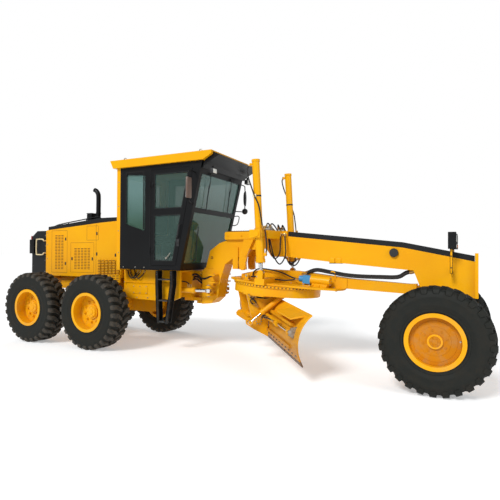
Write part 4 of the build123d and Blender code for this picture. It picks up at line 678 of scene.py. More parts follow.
for side, side_name in SIDES:
    door = f"door_{side_name}"
    leaf = bmesh.new()
    framed(leaf, [(DOOR_REAR, DOOR_BOTTOM), (door_front(DOOR_BOTTOM), DOOR_BOTTOM),
                  (door_front(DOOR_TOP), DOOR_TOP), (DOOR_REAR, DOOR_TOP)], STILE, side * (CAB_SIDE - 0.045),
           side * 0.045)
    rail = [(DOOR_REAR + 0.03, RAIL_BOTTOM), (door_front(RAIL_BOTTOM) - 0.03, RAIL_BOTTOM),
            (door_front(RAIL_TOP) - 0.03, RAIL_TOP), (DOOR_REAR + 0.03, RAIL_TOP)]
    prism(leaf, [(x, side * (CAB_SIDE - 0.043), z) for x, z in rail], (0, side * 0.041, 0))
    for z in (1.77, 2.95):
        bar(leaf, (HINGE_X, side * 0.794, z - 0.05), (HINGE_X, side * 0.794, z + 0.05), 0.013, sides=16)
        slab(leaf, (HINGE_X, side * 0.778, z - 0.035), (-0.90, side * 0.792, z + 0.035), 0.004)
    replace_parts(finished(f"{door}_frame", leaf, black_paint, door, "black_paint"), f"cab_door_{side_name}")
    beads = bmesh.new()
    panes = bmesh.new()
    for bottom, top in ((DOOR_BOTTOM + STILE, RAIL_BOTTOM), (RAIL_TOP, DOOR_TOP - STILE)):
        corners = [(DOOR_REAR + STILE, bottom), (door_front(bottom) - STILE, bottom),
                   (door_front(top) - STILE, top), (DOOR_REAR + STILE, top)]
        framed(beads, corners, 0.016, side * (CAB_SIDE - 0.038), side * 0.040)
        prism(panes, [(x, side * (CAB_SIDE - 0.022), z) for x, z in corners], (0, side * 0.006, 0))
    finished(f"{door}_beads", beads, gasket, door, "black_plastic")
    finished(f"{door}_panes", panes, pane_glass, door, "tinted_glass")
    grip = bmesh.new()
    hose(grip, sided(side, (-0.37, 0.78, 2.02), (-0.37, 0.815, 2.02), (-0.362, 0.822, 2.05),
                     (-0.335, 0.822, 2.20), (-0.33, 0.815, 2.23), (-0.33, 0.78, 2.23)), 0.010, 10)
    slab(grip, (-0.405, side * 0.776, 1.86), (-0.352, side * 0.786, 1.98), 0.003)
    bar(grip, (-0.378, side * 0.785, 1.92), (-0.378, side * 0.80, 1.92), 0.013, sides=16)
    finished(f"{door}_grab_handle", grip, plastic, door, "black_plastic")
    lever = bmesh.new()
    hose(lever, sided(side, (-0.62, 0.772, 1.655), (-0.60, 0.79, 1.665), (-0.56, 0.797, 1.70),
                      (-0.525, 0.795, 1.745)), 0.008, 8)
    bar(lever, (-0.62, side * 0.766, 1.655), (-0.62, side * 0.786, 1.655), 0.016, sides=16)
    finished(f"{door}_latch_lever", lever, zinc, door, "steel")

# ---- cab shell: seals, screws, wipers and lamps ----
# The shell is folded and welded steel. Fixed panes are clamped in rubber. Two wipers hang over the
# windscreen's upper part and one stands below.
# Work lamps hang from brackets below the visor, and four eye bolts in the roof lift the cab.


def screen(z):
    """X of the windscreen's outer face at a height."""
    return -0.332 + (z - 1.45) * 0.440 / 1.85


shell = bmesh.new()
for side in (1, -1):
    for x in (-1.58, -1.30, -1.10):
        nut(shell, (x, side * CAB_SIDE, 1.485), Y * side, 0.009)
    for z in (1.75, 2.15, 2.60, 3.05):
        nut(shell, (-1.70, side * CAB_SIDE, z), Y * side, 0.008)
    y = side * 0.70
    for x in (-1.62, 0.02):
        bar(shell, (x, y, 3.445), (x, y, 3.462), 0.03, sides=20)
        hose(shell, [(x - 0.022, y, 3.455), (x - 0.026, y, 3.485), (x, y, 3.505), (x + 0.026, y, 3.485),
                     (x + 0.022, y, 3.455)], 0.008, 8)
finished("cab_fixings", shell, zinc, "rear_chassis", "steel")

seals = bmesh.new()
for side in (1, -1):
    y = side * (CAB_SIDE - 0.002)
    corners = [Vector((x, y, z)) for x, z in ((-1.522, 2.285), (-1.522, 3.205), (-1.122, 3.205),
                                              (-1.122, 2.17))]
    for start, end in zip(corners, corners[1:]):
        hose(seals, [start, (start + end) / 2, end], 0.009, 6, 1)
    hose(seals, [(-0.972, y, 1.51), (-0.972, y, 2.4), (-0.972, y, 3.23)], 0.006, 6, 1)
finished("cab_window_seals", seals, gasket, "rear_chassis", "black_plastic")

wipers = bmesh.new()
for y, z0, z1, swing in ((-0.46, 3.12, 2.60, 0.06), (0.30, 3.12, 2.62, 0.08), (-0.40, 1.62, 2.10, -0.10)):
    base = Vector((screen(z0) + 0.012, y, z0))
    tip = Vector((screen(z1) + 0.022, y + swing, z1))
    bar(wipers, base - X * 0.01, base + X * 0.02, 0.016, sides=14)
    hose(wipers, [base + X * 0.014, base.lerp(tip, 0.4) + X * 0.018, tip.lerp(base, 0.25)], 0.006, 8)
    low_end, high_end = tip.lerp(base, -0.22), tip.lerp(base, 0.62)
    half = Y * 0.006
    prism(wipers, [low_end - half, low_end + half, high_end + half, high_end - half], X * 0.012)
finished("cab_wipers", wipers, plastic, "rear_chassis", "black_plastic")

lens = mottled("lamp_lens", 35.0, (0.78, 0.78, 0.72), (0.62, 0.63, 0.60), Roughness=0.12)
housings = bmesh.new()
glasses = bmesh.new()
for y in (-0.66, 0.66):
    slab(housings, (0.21, y - 0.065, 3.075), (0.28, y + 0.065, 3.165), 0.012)
    slab(housings, (0.23, y - 0.012, 3.16), (0.26, y + 0.012, 3.21), 0.003)
    slab(glasses, (0.278, y - 0.055, 3.085), (0.286, y + 0.055, 3.155), 0.004)
    slab(housings, (-1.79, y - 0.06, 3.20), (-1.742, y + 0.06, 3.285), 0.012)
    slab(glasses, (-1.797, y - 0.05, 3.21), (-1.789, y + 0.05, 3.275), 0.003)
for k in range(9):
    nut(housings, (0.115, -0.56 + k * 0.14, 3.215), X, 0.007)
finished("cab_lamps", housings, plastic, "rear_chassis", "black_plastic")
finished("cab_lamp_lenses", glasses, lens, "rear_chassis", "tinted_glass")

# ---- mirrors ----
# Each mirror is silvered glass in a plastic shell, clamped to a bent tube that is bolted to the front post.

bronze = mottled("bronze_plastic", 18.0, (0.10, 0.062, 0.045), (0.14, 0.09, 0.068), Roughness=0.35)
silvered = mottled("mirror_glass", 3.0, (0.62, 0.66, 0.66), (0.56, 0.60, 0.60), Metallic=1.0, Roughness=0.04)
tubes = bmesh.new()
backs = bmesh.new()
shell = bmesh.new()
faces = bmesh.new()
OVAL = {"vec": (1, 0.56, 2.0), "space": Matrix.Translation((0, -1.055, -2.86))}
hose(tubes, [(-0.02, 0.77, 3.10), (-0.01, 0.90, 3.12), (0.0, 1.03, 3.11), (0.0, 1.06, 3.06),
             (0.0, 1.06, 2.72), (0.0, 1.03, 2.60), (-0.04, 0.90, 2.585), (-0.07, 0.77, 2.58)], 0.010, 10)
bar(backs, (0.018, 1.055, 2.86), (-0.012, 1.055, 2.86), 0.078, 0.068, 36)
bmesh.ops.scale(backs, verts=backs.verts[:], **OVAL)
hose(tubes, [(-0.08, 0.77, 2.48), (-0.05, 0.84, 2.49), (-0.03, 0.865, 2.46), (-0.06, 0.86, 2.34),
             (-0.10, 0.80, 2.30), (-0.12, 0.77, 2.30)], 0.009, 8)
bmesh.ops.create_uvsphere(backs, u_segments=20, v_segments=12, radius=0.06,
                          matrix=Matrix.Translation((0.0, 1.06, 2.60)))
hose(tubes, [(-0.03, -0.77, 3.10), (-0.01, -0.90, 3.10), (0.0, -1.01, 3.09), (0.0, -1.03, 3.04),
             (0.0, -1.03, 2.66), (0.0, -1.01, 2.60), (-0.06, -0.88, 2.585), (-0.09, -0.77, 2.58)], 0.010, 10)
slab(shell, (-0.018, -1.10, 2.64), (0.020, -0.96, 2.985), 0.016)
finished("mirror_right_shell", shell, bronze, "rear_chassis", "black_plastic")
slab(faces, (-0.021, -1.09, 2.65), (-0.016, -0.97, 2.975), 0.002)
bar(faces, (-0.011, 1.055, 2.86), (-0.015, 1.055, 2.86), 0.062, sides=36)
bmesh.ops.scale(faces, verts=[vert for vert in faces.verts if vert.co.y > 0], **OVAL)
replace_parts(finished("mirror_tubes", tubes, black_paint, "rear_chassis", "black_paint"), "cab_mirrors")
finished("mirror_left_shell", backs, plastic, "rear_chassis", "black_plastic")
finished("mirror_faces", faces, silvered, "rear_chassis", "tinted_glass")

# ---- operator's station ----
# A steering wheel and rows of lever knobs stand on the console. The seat is foam under stitched cloth on a
# sprung base; its cushions swell between the piping.

wheel = bmesh.new()
hub = Vector((-0.66, 0, 2.36))
tilt = Matrix.Rotation(math.radians(28), 4, "Y")
ring = around(hub, 0.19, 28, tilt @ X, Y)
hose(wheel, ring + ring[:1], 0.014, 10, 2)
bar(wheel, hub, hub + tilt @ (Z * -0.05), 0.04, 0.03, 24)
for k in range(3):
    angle = math.tau * k / 3 + 0.5
    spoke = Vector((math.cos(angle), math.sin(angle), 0))
    hose(wheel, [hub + tilt @ (Z * -0.02), hub + tilt @ (spoke * 0.1 - Z * 0.014),
                 hub + tilt @ (spoke * 0.188)], 0.009, 8)
bar(wheel, hub + tilt @ (Z * -0.04), (-0.60, 0, 2.05), 0.022, sides=16)
for side in (1, -1):
    for k in range(5):
        x, y = -0.70 + k * 0.045, side * (0.20 + 0.02 * k)
        hose(wheel, [(x, y, 2.05), (x - 0.02, y, 2.18), (x - 0.03, y, 2.30)], 0.006, 8)
        bmesh.ops.create_uvsphere(wheel, u_segments=14, v_segments=10, radius=0.018,
                                  matrix=Matrix.Translation((x - 0.032, y, 2.315)))
finished("steering_wheel_and_levers", wheel, plastic, "rear_chassis", "black_plastic")

weave = Finish("seat_weave")
thread = weave.node("ShaderNodeTexWave", {"wave_type": "BANDS"}, {"Vector": weave.place(), "Scale": 160.0})
cross = weave.node("ShaderNodeTexWave", {"wave_type": "BANDS", "bands_direction": "Y"},
                   {"Vector": weave.place(), "Scale": 160.0})
weave.set(Base_Color=weave.mix(thread * cross, (0.014, 0.014, 0.016, 1), (0.040, 0.040, 0.044, 1)),
          Roughness=0.95, Specular_IOR_Level=0.15, Normal=weave.bump(thread + cross, 0.3, 0.001))
cushion_low, cushion_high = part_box("seat_cushions")
SKIN = 0.012  # size of the cushion mesh's cells, and the most its cover may swell
CUSHIONS = (("seat_squab", (-1.305, -0.235, 1.935), (cushion_high.x, 0.235, 2.055)),
            ("seat_back", (cushion_low.x + 0.005, -0.225, 2.085), (-1.30, 0.225, cushion_high.z)))
for index, (name, low, high) in enumerate(CUSHIONS):
    foam = bmesh.new()
    slab(foam, low, high, 0.03)
    cushion = finished(name, foam, weave, "rear_chassis", "seat_fabric", 60)
    remesh = cushion.modifiers.new("skin", "REMESH")
    remesh.mode = "VOXEL"
    remesh.voxel_size = SKIN
    bpy.context.view_layer.objects.active = cushion
    bpy.ops.object.modifier_apply(modifier="skin")
    before = [vert.co.copy() for vert in cushion.data.vertices]
    cover = cushion.modifiers.new("cover", "CLOTH")
    cover.settings.use_pressure = True
    cover.settings.uniform_pressure_force = 4.0
    cover.settings.effector_weights.gravity = 0.0
    cover.settings.quality = 4
    for tick in range(1, 13):
        bpy.context.scene.frame_set(tick)
    bpy.ops.object.modifier_apply(modifier="cover")
    for vert, start in zip(cushion.data.vertices, before):
        moved = vert.co - start
        if moved.length > SKIN:
            vert.co = start + moved.normalized() * SKIN
    bpy.context.scene.frame_set(1)
    for polygon in cushion.data.polygons:
        polygon.use_smooth = True
    if index == 0:
        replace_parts(cushion, "seat_cushions")
piping = bmesh.new()
for name, low, high in CUSHIONS:
    flat = name == "seat_squab"
    corners = []
    for k in range(32):
        a = math.tau * k / 32
        u = math.copysign(abs(math.cos(a)) ** 0.3, math.cos(a)) * 0.97
        v = math.copysign(abs(math.sin(a)) ** 0.3, math.sin(a)) * 0.97
        if flat:
            corners.append(((low[0] + high[0]) / 2 + u * (high[0] - low[0]) / 2, v * high[1],
                            high[2] - 0.012))
        else:
            corners.append((high[0] - 0.012, v * high[1],
                            (low[2] + high[2]) / 2 + u * (high[2] - low[2]) / 2))
    hose(piping, corners + corners[:1], 0.006, 6, 2)
finished("seat_piping", piping, gasket, "rear_chassis", "seat_fabric")

# ---- access ladders ----
# Two cranked side plates with serrated treads, bolted below each door. The left ladder is the shorter one.

grip_steel = Finish("serrated_steel")
grip_steel.set(Base_Color=grip_steel.mix(grip_steel.noise(50.0, 5.0), (0.030, 0.033, 0.035, 1),
                                         (0.060, 0.060, 0.058, 1)),
               Roughness=0.6, Normal=grip_steel.bump(grip_steel.noise(300.0), 0.4, 0.002))
ladder_low, ladder_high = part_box("access_ladders")
LADDER_BEND = 1.18
for side, side_name, foot in ((1, "left", 0.93), (-1, "right", ladder_low.z)):
    ladder = bmesh.new()
    treads = bmesh.new()
    for x0, x1, lean in ((ladder_low.x, ladder_low.x + 0.055, 0.03),
                         (ladder_high.x - 0.055, ladder_high.x, -0.105)):
        for edge, y, thick in ((x1, 0.600, 0.012), (x1, 0.718, 0.012), (x0 + 0.012, 0.600, 0.130)):
            outline = [(x0 + lean, foot), (edge + lean, foot), (edge, LADDER_BEND), (edge, ladder_high.z),
                       (x0, ladder_high.z), (x0, LADDER_BEND)]
            prism(ladder, [(x, side * y, z) for x, z in outline], (0, side * thick, 0))
    for z in (0.52, 0.893, 1.265):
        if z > foot:
            lean = max(0.0, (LADDER_BEND - z) / (LADDER_BEND - foot))
            x0, x1 = ladder_low.x + 0.04 + 0.03 * lean, ladder_high.x - 0.04 - 0.105 * lean
            slab(treads, (x0, side * 0.605, z), (x1, side * 0.725, z + 0.012), 0.002)
            for k in range(9):
                x = x0 + (x1 - x0) * (k + 0.5) / 9
                slab(treads, (x - 0.004, side * 0.602, z + 0.010), (x + 0.004, side * 0.728, z + 0.024))
    for x in (ladder_low.x + 0.028, ladder_high.x - 0.028):
        for z in (1.36, 1.405):
            nut(treads, (x, side * 0.730, z), Y * side, 0.009)
    piece = finished(f"ladder_{side_name}", ladder, grey_paint, "rear_chassis", "grey_paint")
    if side > 0:
        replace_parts(piece, "access_ladders")
    finished(f"ladder_treads_{side_name}", treads, grip_steel, "rear_chassis", "grey_paint")

# ---- hydraulic hoses, shared finish ----
# Wire-braided rubber hose with swaged brass ends. Both ends are screwed to ports, so a hose rides on the
# piece that carries it; one that crosses between two pieces is left unattached where it stands.

hose_rubber = mottled("hose_rubber", 25.0, (0.010, 0.010, 0.011), (0.022, 0.020, 0.018), Roughness=0.6,
                      Specular_IOR_Level=0.3)
brass = mottled("brass_fitting", 40.0, (0.55, 0.33, 0.10), (0.38, 0.21, 0.06), Metallic=0.8, Roughness=0.35)


def plumbed(name, routes, radius, body, joint=None):
    """Hoses along the routes given, with a swaged collar at each end. When a joint is given the pieces are
    unparented and left where they stand; the body and points it names are not used."""
    rubber_shape = bmesh.new()
    ends = bmesh.new()
    for route in routes:
        route = [Vector(point) for point in route]
        hose(rubber_shape, route, radius)
        for end, inward in ((route[0], route[1]), (route[-1], route[-2])):
            toward = (inward - end).normalized()
            bar(ends, end - toward * radius, end + toward * radius * 3.2, radius * 1.35, sides=10)
            bar(ends, end - toward * radius * 1.8, end - toward * radius * 0.4, radius * 1.7, sides=6)
    for shape, piece_name, paint, slot_name in ((rubber_shape, f"{name}_hoses", hose_rubber, "black_plastic"),
                                                (ends, f"{name}_hose_ends", brass, "steel")):
        piece = finished(piece_name, shape, paint, body, slot_name)
        if joint:
            piece.parent = None
            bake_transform(piece)


# ---- articulation: hoses and pins ----
# Two cylinders turn the front frame about the hitch pins. Bundles of hose cross the hitch in slack loops.

HITCH_HOSES = ((-0.14, 1.33), (-0.10, 1.28), (-0.12, 1.24), (0.14, 1.33), (0.10, 1.28))
plumbed("hitch", [[(-0.52, y, z), (-0.40, y * 1.06, z + 0.03), (-0.25, y * 1.12, z - 0.05),
                   (-0.10, y * 1.05, z - 0.01), (0.02, y * 0.9, z + 0.05)] for y, z in HITCH_HOSES],
        0.016, "rear_chassis", ("front_body", (-0.42, 0, 1.25), (-0.06, 0, 1.25)))
PIN_Z = 1.08
for side, side_name in SIDES:
    body = f"artic_barrel_{side_name}"
    start = Vector((-1.012, side * 0.400, PIN_Z))
    ahead = Vector((0.990, -side * 0.070, 0)).normalized()
    gland = bmesh.new()
    tip = start + ahead * 0.720
    bar(gland, tip - ahead * 0.055, tip + ahead * 0.004, 0.057, sides=28)
    bar(gland, tip + ahead * 0.004, tip + ahead * 0.014, 0.044, sides=24)
    for spot in around(tip, 0.049, 6, Y, Z):
        bar(gland, spot, spot + ahead * 0.010, 0.006, sides=6)
    for reach in (0.11, 0.64):
        port = start + ahead * reach
        slab(gland, port + Vector((-0.022, -0.02, 0.044)), port + Vector((0.022, 0.02, 0.072)), 0.004)
    finished(f"{body}_gland", gland, yellow_paint, body, "yellow_paint")
    valves = bmesh.new()
    for k in range(3):
        port = start + ahead * (0.60 + 0.035 * k) + Vector((0, side * 0.030, 0.050))
        bar(valves, port, port + Vector((0, side * 0.012, 0.050)), 0.011, sides=12)
        bar(valves, port + Vector((0, side * 0.009, 0.036)), port + Vector((0, side * 0.014, 0.056)), 0.015,
            sides=6)
    finished(f"{body}_valves", valves, brass, body, "steel")
    run = [start + ahead * reach + Vector((0, side * y, z)) for reach, y, z in (
        (0.11, 0, 0.072), (0.16, 0.02, 0.15), (0.34, 0.03, 0.155), (0.55, 0.02, 0.145), (0.64, 0, 0.072))]
    plumbed(body, [run], 0.010, body)
    for end, pin_body, x, y, reach in (("rear", "rear_chassis", -1.012, 0.400, 0.094),
                                       ("front", "front_body", -0.022, 0.330, 0.092)):
        pins = bmesh.new()
        for way in (-Z, Z):
            face = Vector((x, side * y, PIN_Z)) + way * reach
            bar(pins, face - Z * 0.006, face + Z * 0.006, 0.035, sides=24)
            nut(pins, face + way * 0.006, way, 0.010)
        finished(f"hitch_{end}_pin_{side_name}", pins, zinc, pin_body, "steel")
plumbed("chassis_side", [sided(side, (x, 0.552, 1.405), (x + 0.05, 0.585, 1.33), (x + 0.12, 0.59, 1.27),
                               (x + 0.20, 0.575, 1.33), (x + 0.24, 0.552, 1.40))
                         for side in (1, -1) for x in (-1.66, -1.60, -1.50)], 0.010, "rear_chassis")

# ---- chassis: covers, steps and bolts ----
# The side tanks are closed by bolted plates. Each tandem case has two round covers and a square one.

TANDEM_X = -2.762
AXLE_Z = 0.674
CASE_SIDE = 0.838
panel_bolts = bmesh.new()
covers = bmesh.new()
for side in (1, -1):
    for x in (-1.70, -1.45, -1.20, -0.95):
        nut(panel_bolts, (x, side * 0.540, 0.915), Y * side, 0.010)
    slab(covers, (-1.55, side * 0.538, 0.98), (-1.20, side * 0.548, 1.14), 0.004)
    for x in (-1.52, -1.375, -1.23):
        for z in (1.0, 1.12):
            nut(panel_bolts, (x, side * 0.548, z), Y * side, 0.008)
    slab(covers, (-1.72, side * 0.536, 1.185), (-0.52, side * 0.556, 1.197), 0.003)
    for x in (TANDEM_X - 0.26, TANDEM_X + 0.26):
        bar(covers, (x, side * CASE_SIDE, AXLE_Z), (x, side * (CASE_SIDE + 0.014), AXLE_Z), 0.085, sides=36)
        for spot in around((x, side * (CASE_SIDE + 0.014), AXLE_Z), 0.070, 8):
            nut(panel_bolts, spot, Y * side, 0.008)
    slab(covers, (TANDEM_X - 0.12, side * CASE_SIDE, 0.60),
         (TANDEM_X + 0.12, side * (CASE_SIDE + 0.010), 0.75), 0.004)
    for x in (TANDEM_X - 0.10, TANDEM_X, TANDEM_X + 0.10):
        for z in (0.62, 0.73):
            nut(panel_bolts, (x, side * (CASE_SIDE + 0.010), z), Y * side, 0.008)
finished("chassis_bolts", panel_bolts, zinc, "rear_chassis", "steel")
finished("chassis_covers", covers, yellow_paint, "rear_chassis", "yellow_paint")

# ---- gooseneck, saddle and beam ----
# The front frame is a box beam of welded plate. A rubber mat lies on the saddle; the two plates beside it
# carry the bulkhead fittings of the lift and circle hoses. A curved link hangs from the saddle.

BEAM_SIDE = 0.150
mat = bmesh.new()
slab(mat, (0.27, -0.185, 2.124), (0.84, 0.185, 2.136), 0.004)
for k in range(12):
    slab(mat, (0.30 + k * 0.045, -0.175, 2.135), (0.315 + k * 0.045, 0.175, 2.139))
finished("saddle_mat", mat, gasket, "front_body", "black_plastic")
neck = bmesh.new()
# Thin sheets in the shadow colour: painted shade round a nut on the beam's side, and a painted shadow under
# the two blocks on the beam.
beam_shadow_marks = bmesh.new()
for side in (1, -1):
    slab(beam_shadow_marks, (-0.085, side * 0.149, 1.64), (-0.040, side * 0.154, 1.685), 0.002)
    nut(neck, (-0.062, side * 0.153, 1.662), Y * side, 0.010)
    for x in (0.30, 0.56, 0.80):
        nut(neck, (x, side * 0.21, 2.05), Y * side, 0.014)
    for x in (1.13, 1.36):
        for z in (1.74, 1.84, 1.94):
            nut(neck, (x, side * 0.175, z), Y * side, 0.009)
    slab(neck, (1.392, side * BEAM_SIDE, 1.62), (1.402, side * 0.154, 2.03), 0.001)
    slab(neck, (2.09, side * 0.06, 1.600), (2.175, side * 0.168, 1.680), 0.004)
    slab(neck, (2.19, side * 0.06, 1.594), (2.275, side * 0.168, 1.672), 0.004)
    slab(beam_shadow_marks, (2.085, side * 0.055, 1.590), (2.28, side * BEAM_SIDE, 1.602), 0.002)
    leg = [(0.60, 1.985), (0.79, 1.985), (0.725, 1.86), (0.665, 1.72), (0.635, 1.58), (0.640, 1.465),
           (0.52, 1.465), (0.505, 1.60), (0.53, 1.76), (0.575, 1.90)]
    prism(neck, [(x, side * 0.152, z) for x, z in leg], (0, side * 0.055, 0))
    bar(neck, (0.58, side * BEAM_SIDE, 1.50), (0.58, side * 0.222, 1.50), 0.048, sides=28)
    bar(neck, (0.62, side * BEAM_SIDE, 1.72), (0.62, side * 0.216, 1.72), 0.030, sides=24)
    for z in (1.215, 1.345):
        slab(neck, (-0.04, side * 0.15, z), (0.085, side * 0.31, z + 0.022), 0.003)
finished("beam_fittings", neck, yellow_paint, "front_body", "yellow_paint")
finished("beam_painted_shadows", beam_shadow_marks, slot_dark, "front_body", "black_plastic")
horn = bmesh.new()
for side in (1, -1):
    root, rim, mouth = (Vector((3.064, side * y, 1.764)) for y in (0.150, 0.172, 0.196))
    bar(horn, root, rim, 0.030)
    bar(horn, rim, mouth, 0.066, 0.060, 32)
finished("beam_horns", horn, plastic, "front_body", "black_plastic")
block = bmesh.new()
for side in (1, -1):
    slab(block, (1.03, side * 0.24, 2.112), (1.17, side * 0.34, 2.165), 0.005)
    for k in range(4):
        x = 1.045 + k * 0.035
        bar(block, (x, side * 0.27, 2.16), (x, side * 0.27, 2.195), 0.011, sides=10)
        bar(block, (x, side * 0.31, 2.16), (x, side * 0.31, 2.205), 0.010, sides=6)
    for x in (1.245, 1.285, 1.325, 1.365):
        bar(block, (x, side * 0.172, 2.06), (x, side * 0.215, 2.06), 0.014, sides=6)
finished("bulkhead_fittings", block, zinc, "front_body", "steel")
SADDLE_HOSES = (
    ((1.285, 0.215, 2.06), (1.295, 0.25, 1.90), (1.285, 0.26, 1.74), (1.20, 0.26, 1.66), (1.12, 0.25, 1.78),
     (1.09, 0.25, 1.95), (1.05, 0.29, 2.11)),
    ((1.355, 0.215, 2.06), (1.385, 0.255, 1.90), (1.391, 0.27, 1.71), (1.295, 0.27, 1.570),
     (1.188, 0.27, 1.70), (1.13, 0.26, 1.90), (1.085, 0.30, 2.11)),
    ((1.045, 0.27, 2.19), (1.06, 0.23, 2.25), (1.10, 0.20, 2.20), (1.15, 0.16, 2.13)),
    ((1.115, 0.27, 2.19), (1.14, 0.24, 2.24), (1.19, 0.20, 2.18), (1.245, 0.19, 2.06)))
plumbed("saddle", [sided(side, *route) for side in (1, -1) for route in SADDLE_HOSES], 0.011, "front_body")
plumbed("beam_under", [
    [(1.310, 0.10, 1.66), (1.33, 0.11, 1.59), (1.401, 0.12, 1.540), (1.47, 0.11, 1.59), (1.508, 0.10, 1.66)],
    [(1.34, -0.06, 1.66), (1.37, -0.07, 1.60), (1.42, -0.08, 1.555), (1.47, -0.07, 1.60),
     (1.53, -0.06, 1.66)]],
        0.011, "front_body")

# ---- blade lift cylinders ----
# Each barrel hangs in its trunnion on the saddle's arm. One hose runs from the port at the top, through a
# clip, to the trunnion, and one from there to the port near the rod. The rod passes a bolted gland with a
# wiper seal.

linkage = {joint["name"]: joint for joint in frame["joints"]}
LIFT_HOSES = (  # distance below the trunnion, then X and Y from the barrel's middle
    ((-1.11, -0.10, 0.0), (-1.05, -0.135, 0.03), (-0.90, -0.115, 0.06), (-0.72, -0.055, 0.078),
     (-0.60, -0.015, 0.082), (-0.45, 0.045, 0.078), (-0.25, 0.072, 0.062), (-0.10, 0.085, 0.05)),
    ((-0.10, 0.11, 0.03), (0.05, 0.125, 0.03), (0.20, 0.125, 0.02), (0.31, 0.10, 0.0)))
for side, side_name in SIDES:
    body = f"lift_barrel_{side_name}"
    pivot = Vector(linkage[f"lift_barrel_{side_name}_swing"]["pos_m"])
    down = Vector(linkage[f"lift_rod_{side_name}_slide"]["axis"])
    down = down if down.z < 0 else -down

    def on_barrel(below, x=0.0, y=0.0):
        """A point on this side's barrel, from its trunnion."""
        return pivot + down * below + Vector((x, side * y, 0))

    sleeve = bmesh.new()
    bar(sleeve, on_barrel(0.06), on_barrel(0.40), 0.070, sides=36)
    bar(sleeve, on_barrel(0.395), on_barrel(0.452), 0.076, sides=36)
    bar(sleeve, on_barrel(-1.181), on_barrel(-1.145), 0.066, sides=36)
    bar(sleeve, on_barrel(-0.09), on_barrel(-0.055), 0.073, sides=36)
    slab(sleeve, on_barrel(-1.13, -0.10, -0.02), on_barrel(-1.09, -0.05, 0.02), 0.006)
    slab(sleeve, on_barrel(0.30, 0.055, -0.022), on_barrel(0.35, 0.105, 0.022), 0.006)
    for spot in around(on_barrel(0.452), 0.062, 8, X, Y):
        bar(sleeve, spot, spot + down * 0.010, 0.007, sides=6)
    finished(f"{body}_sleeve", sleeve, yellow_paint, body, "yellow_paint")
    seal = bmesh.new()
    bar(seal, on_barrel(0.452), on_barrel(0.466), 0.042, 0.036, sides=28)
    clip = on_barrel(-0.60)
    bar(seal, clip - down * 0.012, clip + down * 0.012, 0.0625, sides=36)
    finished(f"{body}_seal", seal, plastic, body, "black_plastic")
    clip_shape = bmesh.new()
    slab(clip_shape, on_barrel(-0.625, -0.045, 0.050), on_barrel(-0.575, 0.010, 0.085), 0.006)
    finished(f"{body}_hose_clip", clip_shape, cream, body, "steel")
    plumbed(body, [[on_barrel(*spot) for spot in route] for route in LIFT_HOSES], 0.011, body)
    yoke = bmesh.new()
    for way in (Y, -Y):
        bar(yoke, pivot + way * 0.108, pivot + way * 0.130, 0.042, sides=28)
        for spot in around(pivot + way * 0.108, 0.046, 4, start=0.5):
            nut(yoke, spot, way, 0.008)
    finished(f"saddle_trunnion_caps_{side_name}", yoke, yellow_paint, "front_body", "yellow_paint")

# ---- drawbar and circle drive ----
# The drawbar's plate carries two pairs of clevis castings, the circle motor with its gearbox and four
# guide shoes, bolted down. Hoses run along it to the ball at the front. The tooth gaps round the ring
# are thin dark marks of painted shade.

centre = Vector(linkage["circle_turn"]["pos_m"])
up = Vector(linkage["circle_turn"]["axis"])
up = up if up.z > 0 else -up
fore = Vector((up.z, 0, -up.x))
along_blade = Vector(linkage["blade_tip"]["axis"])
along_blade = along_blade if along_blade.y > 0 else -along_blade
ahead_blade = along_blade.cross(up)


def on_bar(x, y, z):
    """A point in the drawbar's directions, from the circle's origin."""
    return centre + fore * x + Y * y + up * z


def on_circle(x, y, z):
    """A point in the directions of the circle and blade as they stand at rest, from the circle's origin."""
    return centre + ahead_blade * x + along_blade * y + up * z


def block_at(shape, place, low, high, soft=0.004):
    """A slab given in the drawbar's or the circle's own directions."""
    start = len(shape.verts)
    slab(shape, low, high, soft)
    shape.verts.ensure_lookup_table()
    for vert in shape.verts[start:]:
        vert.co = place(*vert.co)


PLATE_TOP = 0.085  # the drawbar plate's upper face over the circle's origin
fittings = bmesh.new()
bolts = bmesh.new()
for x, y in ((x, y) for y in (-0.50, 0.50) for x in (-0.34, -0.14)):
    block_at(fittings, on_bar, (x - 0.055, y - 0.060, PLATE_TOP), (x + 0.055, y + 0.060, 0.105))
    for end in (-0.042, 0.042):
        block_at(fittings, on_bar, (x - 0.032, y + end - 0.011, 0.10), (x + 0.032, y + end + 0.011, 0.195),
                 0.008)
    bar(bolts, on_bar(x, y - 0.070, 0.165), on_bar(x, y + 0.070, 0.165), 0.016, sides=16)
    for end in (-0.045, 0.045):
        nut(bolts, on_bar(x + end, y + 0.048, 0.105), up, 0.009)
        nut(bolts, on_bar(x + end, y - 0.048, 0.105), up, 0.009)
for turn in (28, 152, 208, 332):
    x, y = 0.690 * math.cos(math.radians(turn)), 0.690 * math.sin(math.radians(turn))
    block_at(fittings, on_bar, (x - 0.075, y - 0.040, PLATE_TOP), (x + 0.075, y + 0.040, 0.098))
    for end in (-0.05, 0.05):
        nut(bolts, on_bar(x + end, y, 0.098), up, 0.013)
for x, way in ((0.654, -fore), (0.966, fore)):
    for spot in around(on_bar(x, -0.240, 0.185), 0.060, 8, Y, up):
        nut(bolts, spot, way, 0.006)
for x in (0.70, 0.80, 0.92):
    block_at(fittings, on_bar, (x - 0.010, -0.318, PLATE_TOP), (x + 0.010, -0.162, 0.120))
for x in (0.28, 0.62, 1.00):
    for y in (-0.12, 0.12):
        nut(bolts, on_bar(x, y, PLATE_TOP), up, 0.010)
hose(fittings, [on_bar(1.00, -0.10, 0.20), on_bar(1.00, -0.10, 0.28), on_bar(0.985, -0.10, 0.325),
                on_bar(0.94, -0.10, 0.335), on_bar(0.92, -0.10, 0.30)], 0.013)
finished("drawbar_fittings", fittings, yellow_paint, "drawbar_body", "yellow_paint")
finished("drawbar_bolts", bolts, zinc, "drawbar_body", "steel")
RUN = ((1.654, 1.400), (1.841, 1.470), (2.08, 1.440), (2.313, 1.402), (2.547, 1.385), (2.85, 1.383),
       (3.10, 1.390), (3.22, 1.455), (3.335, 1.490))
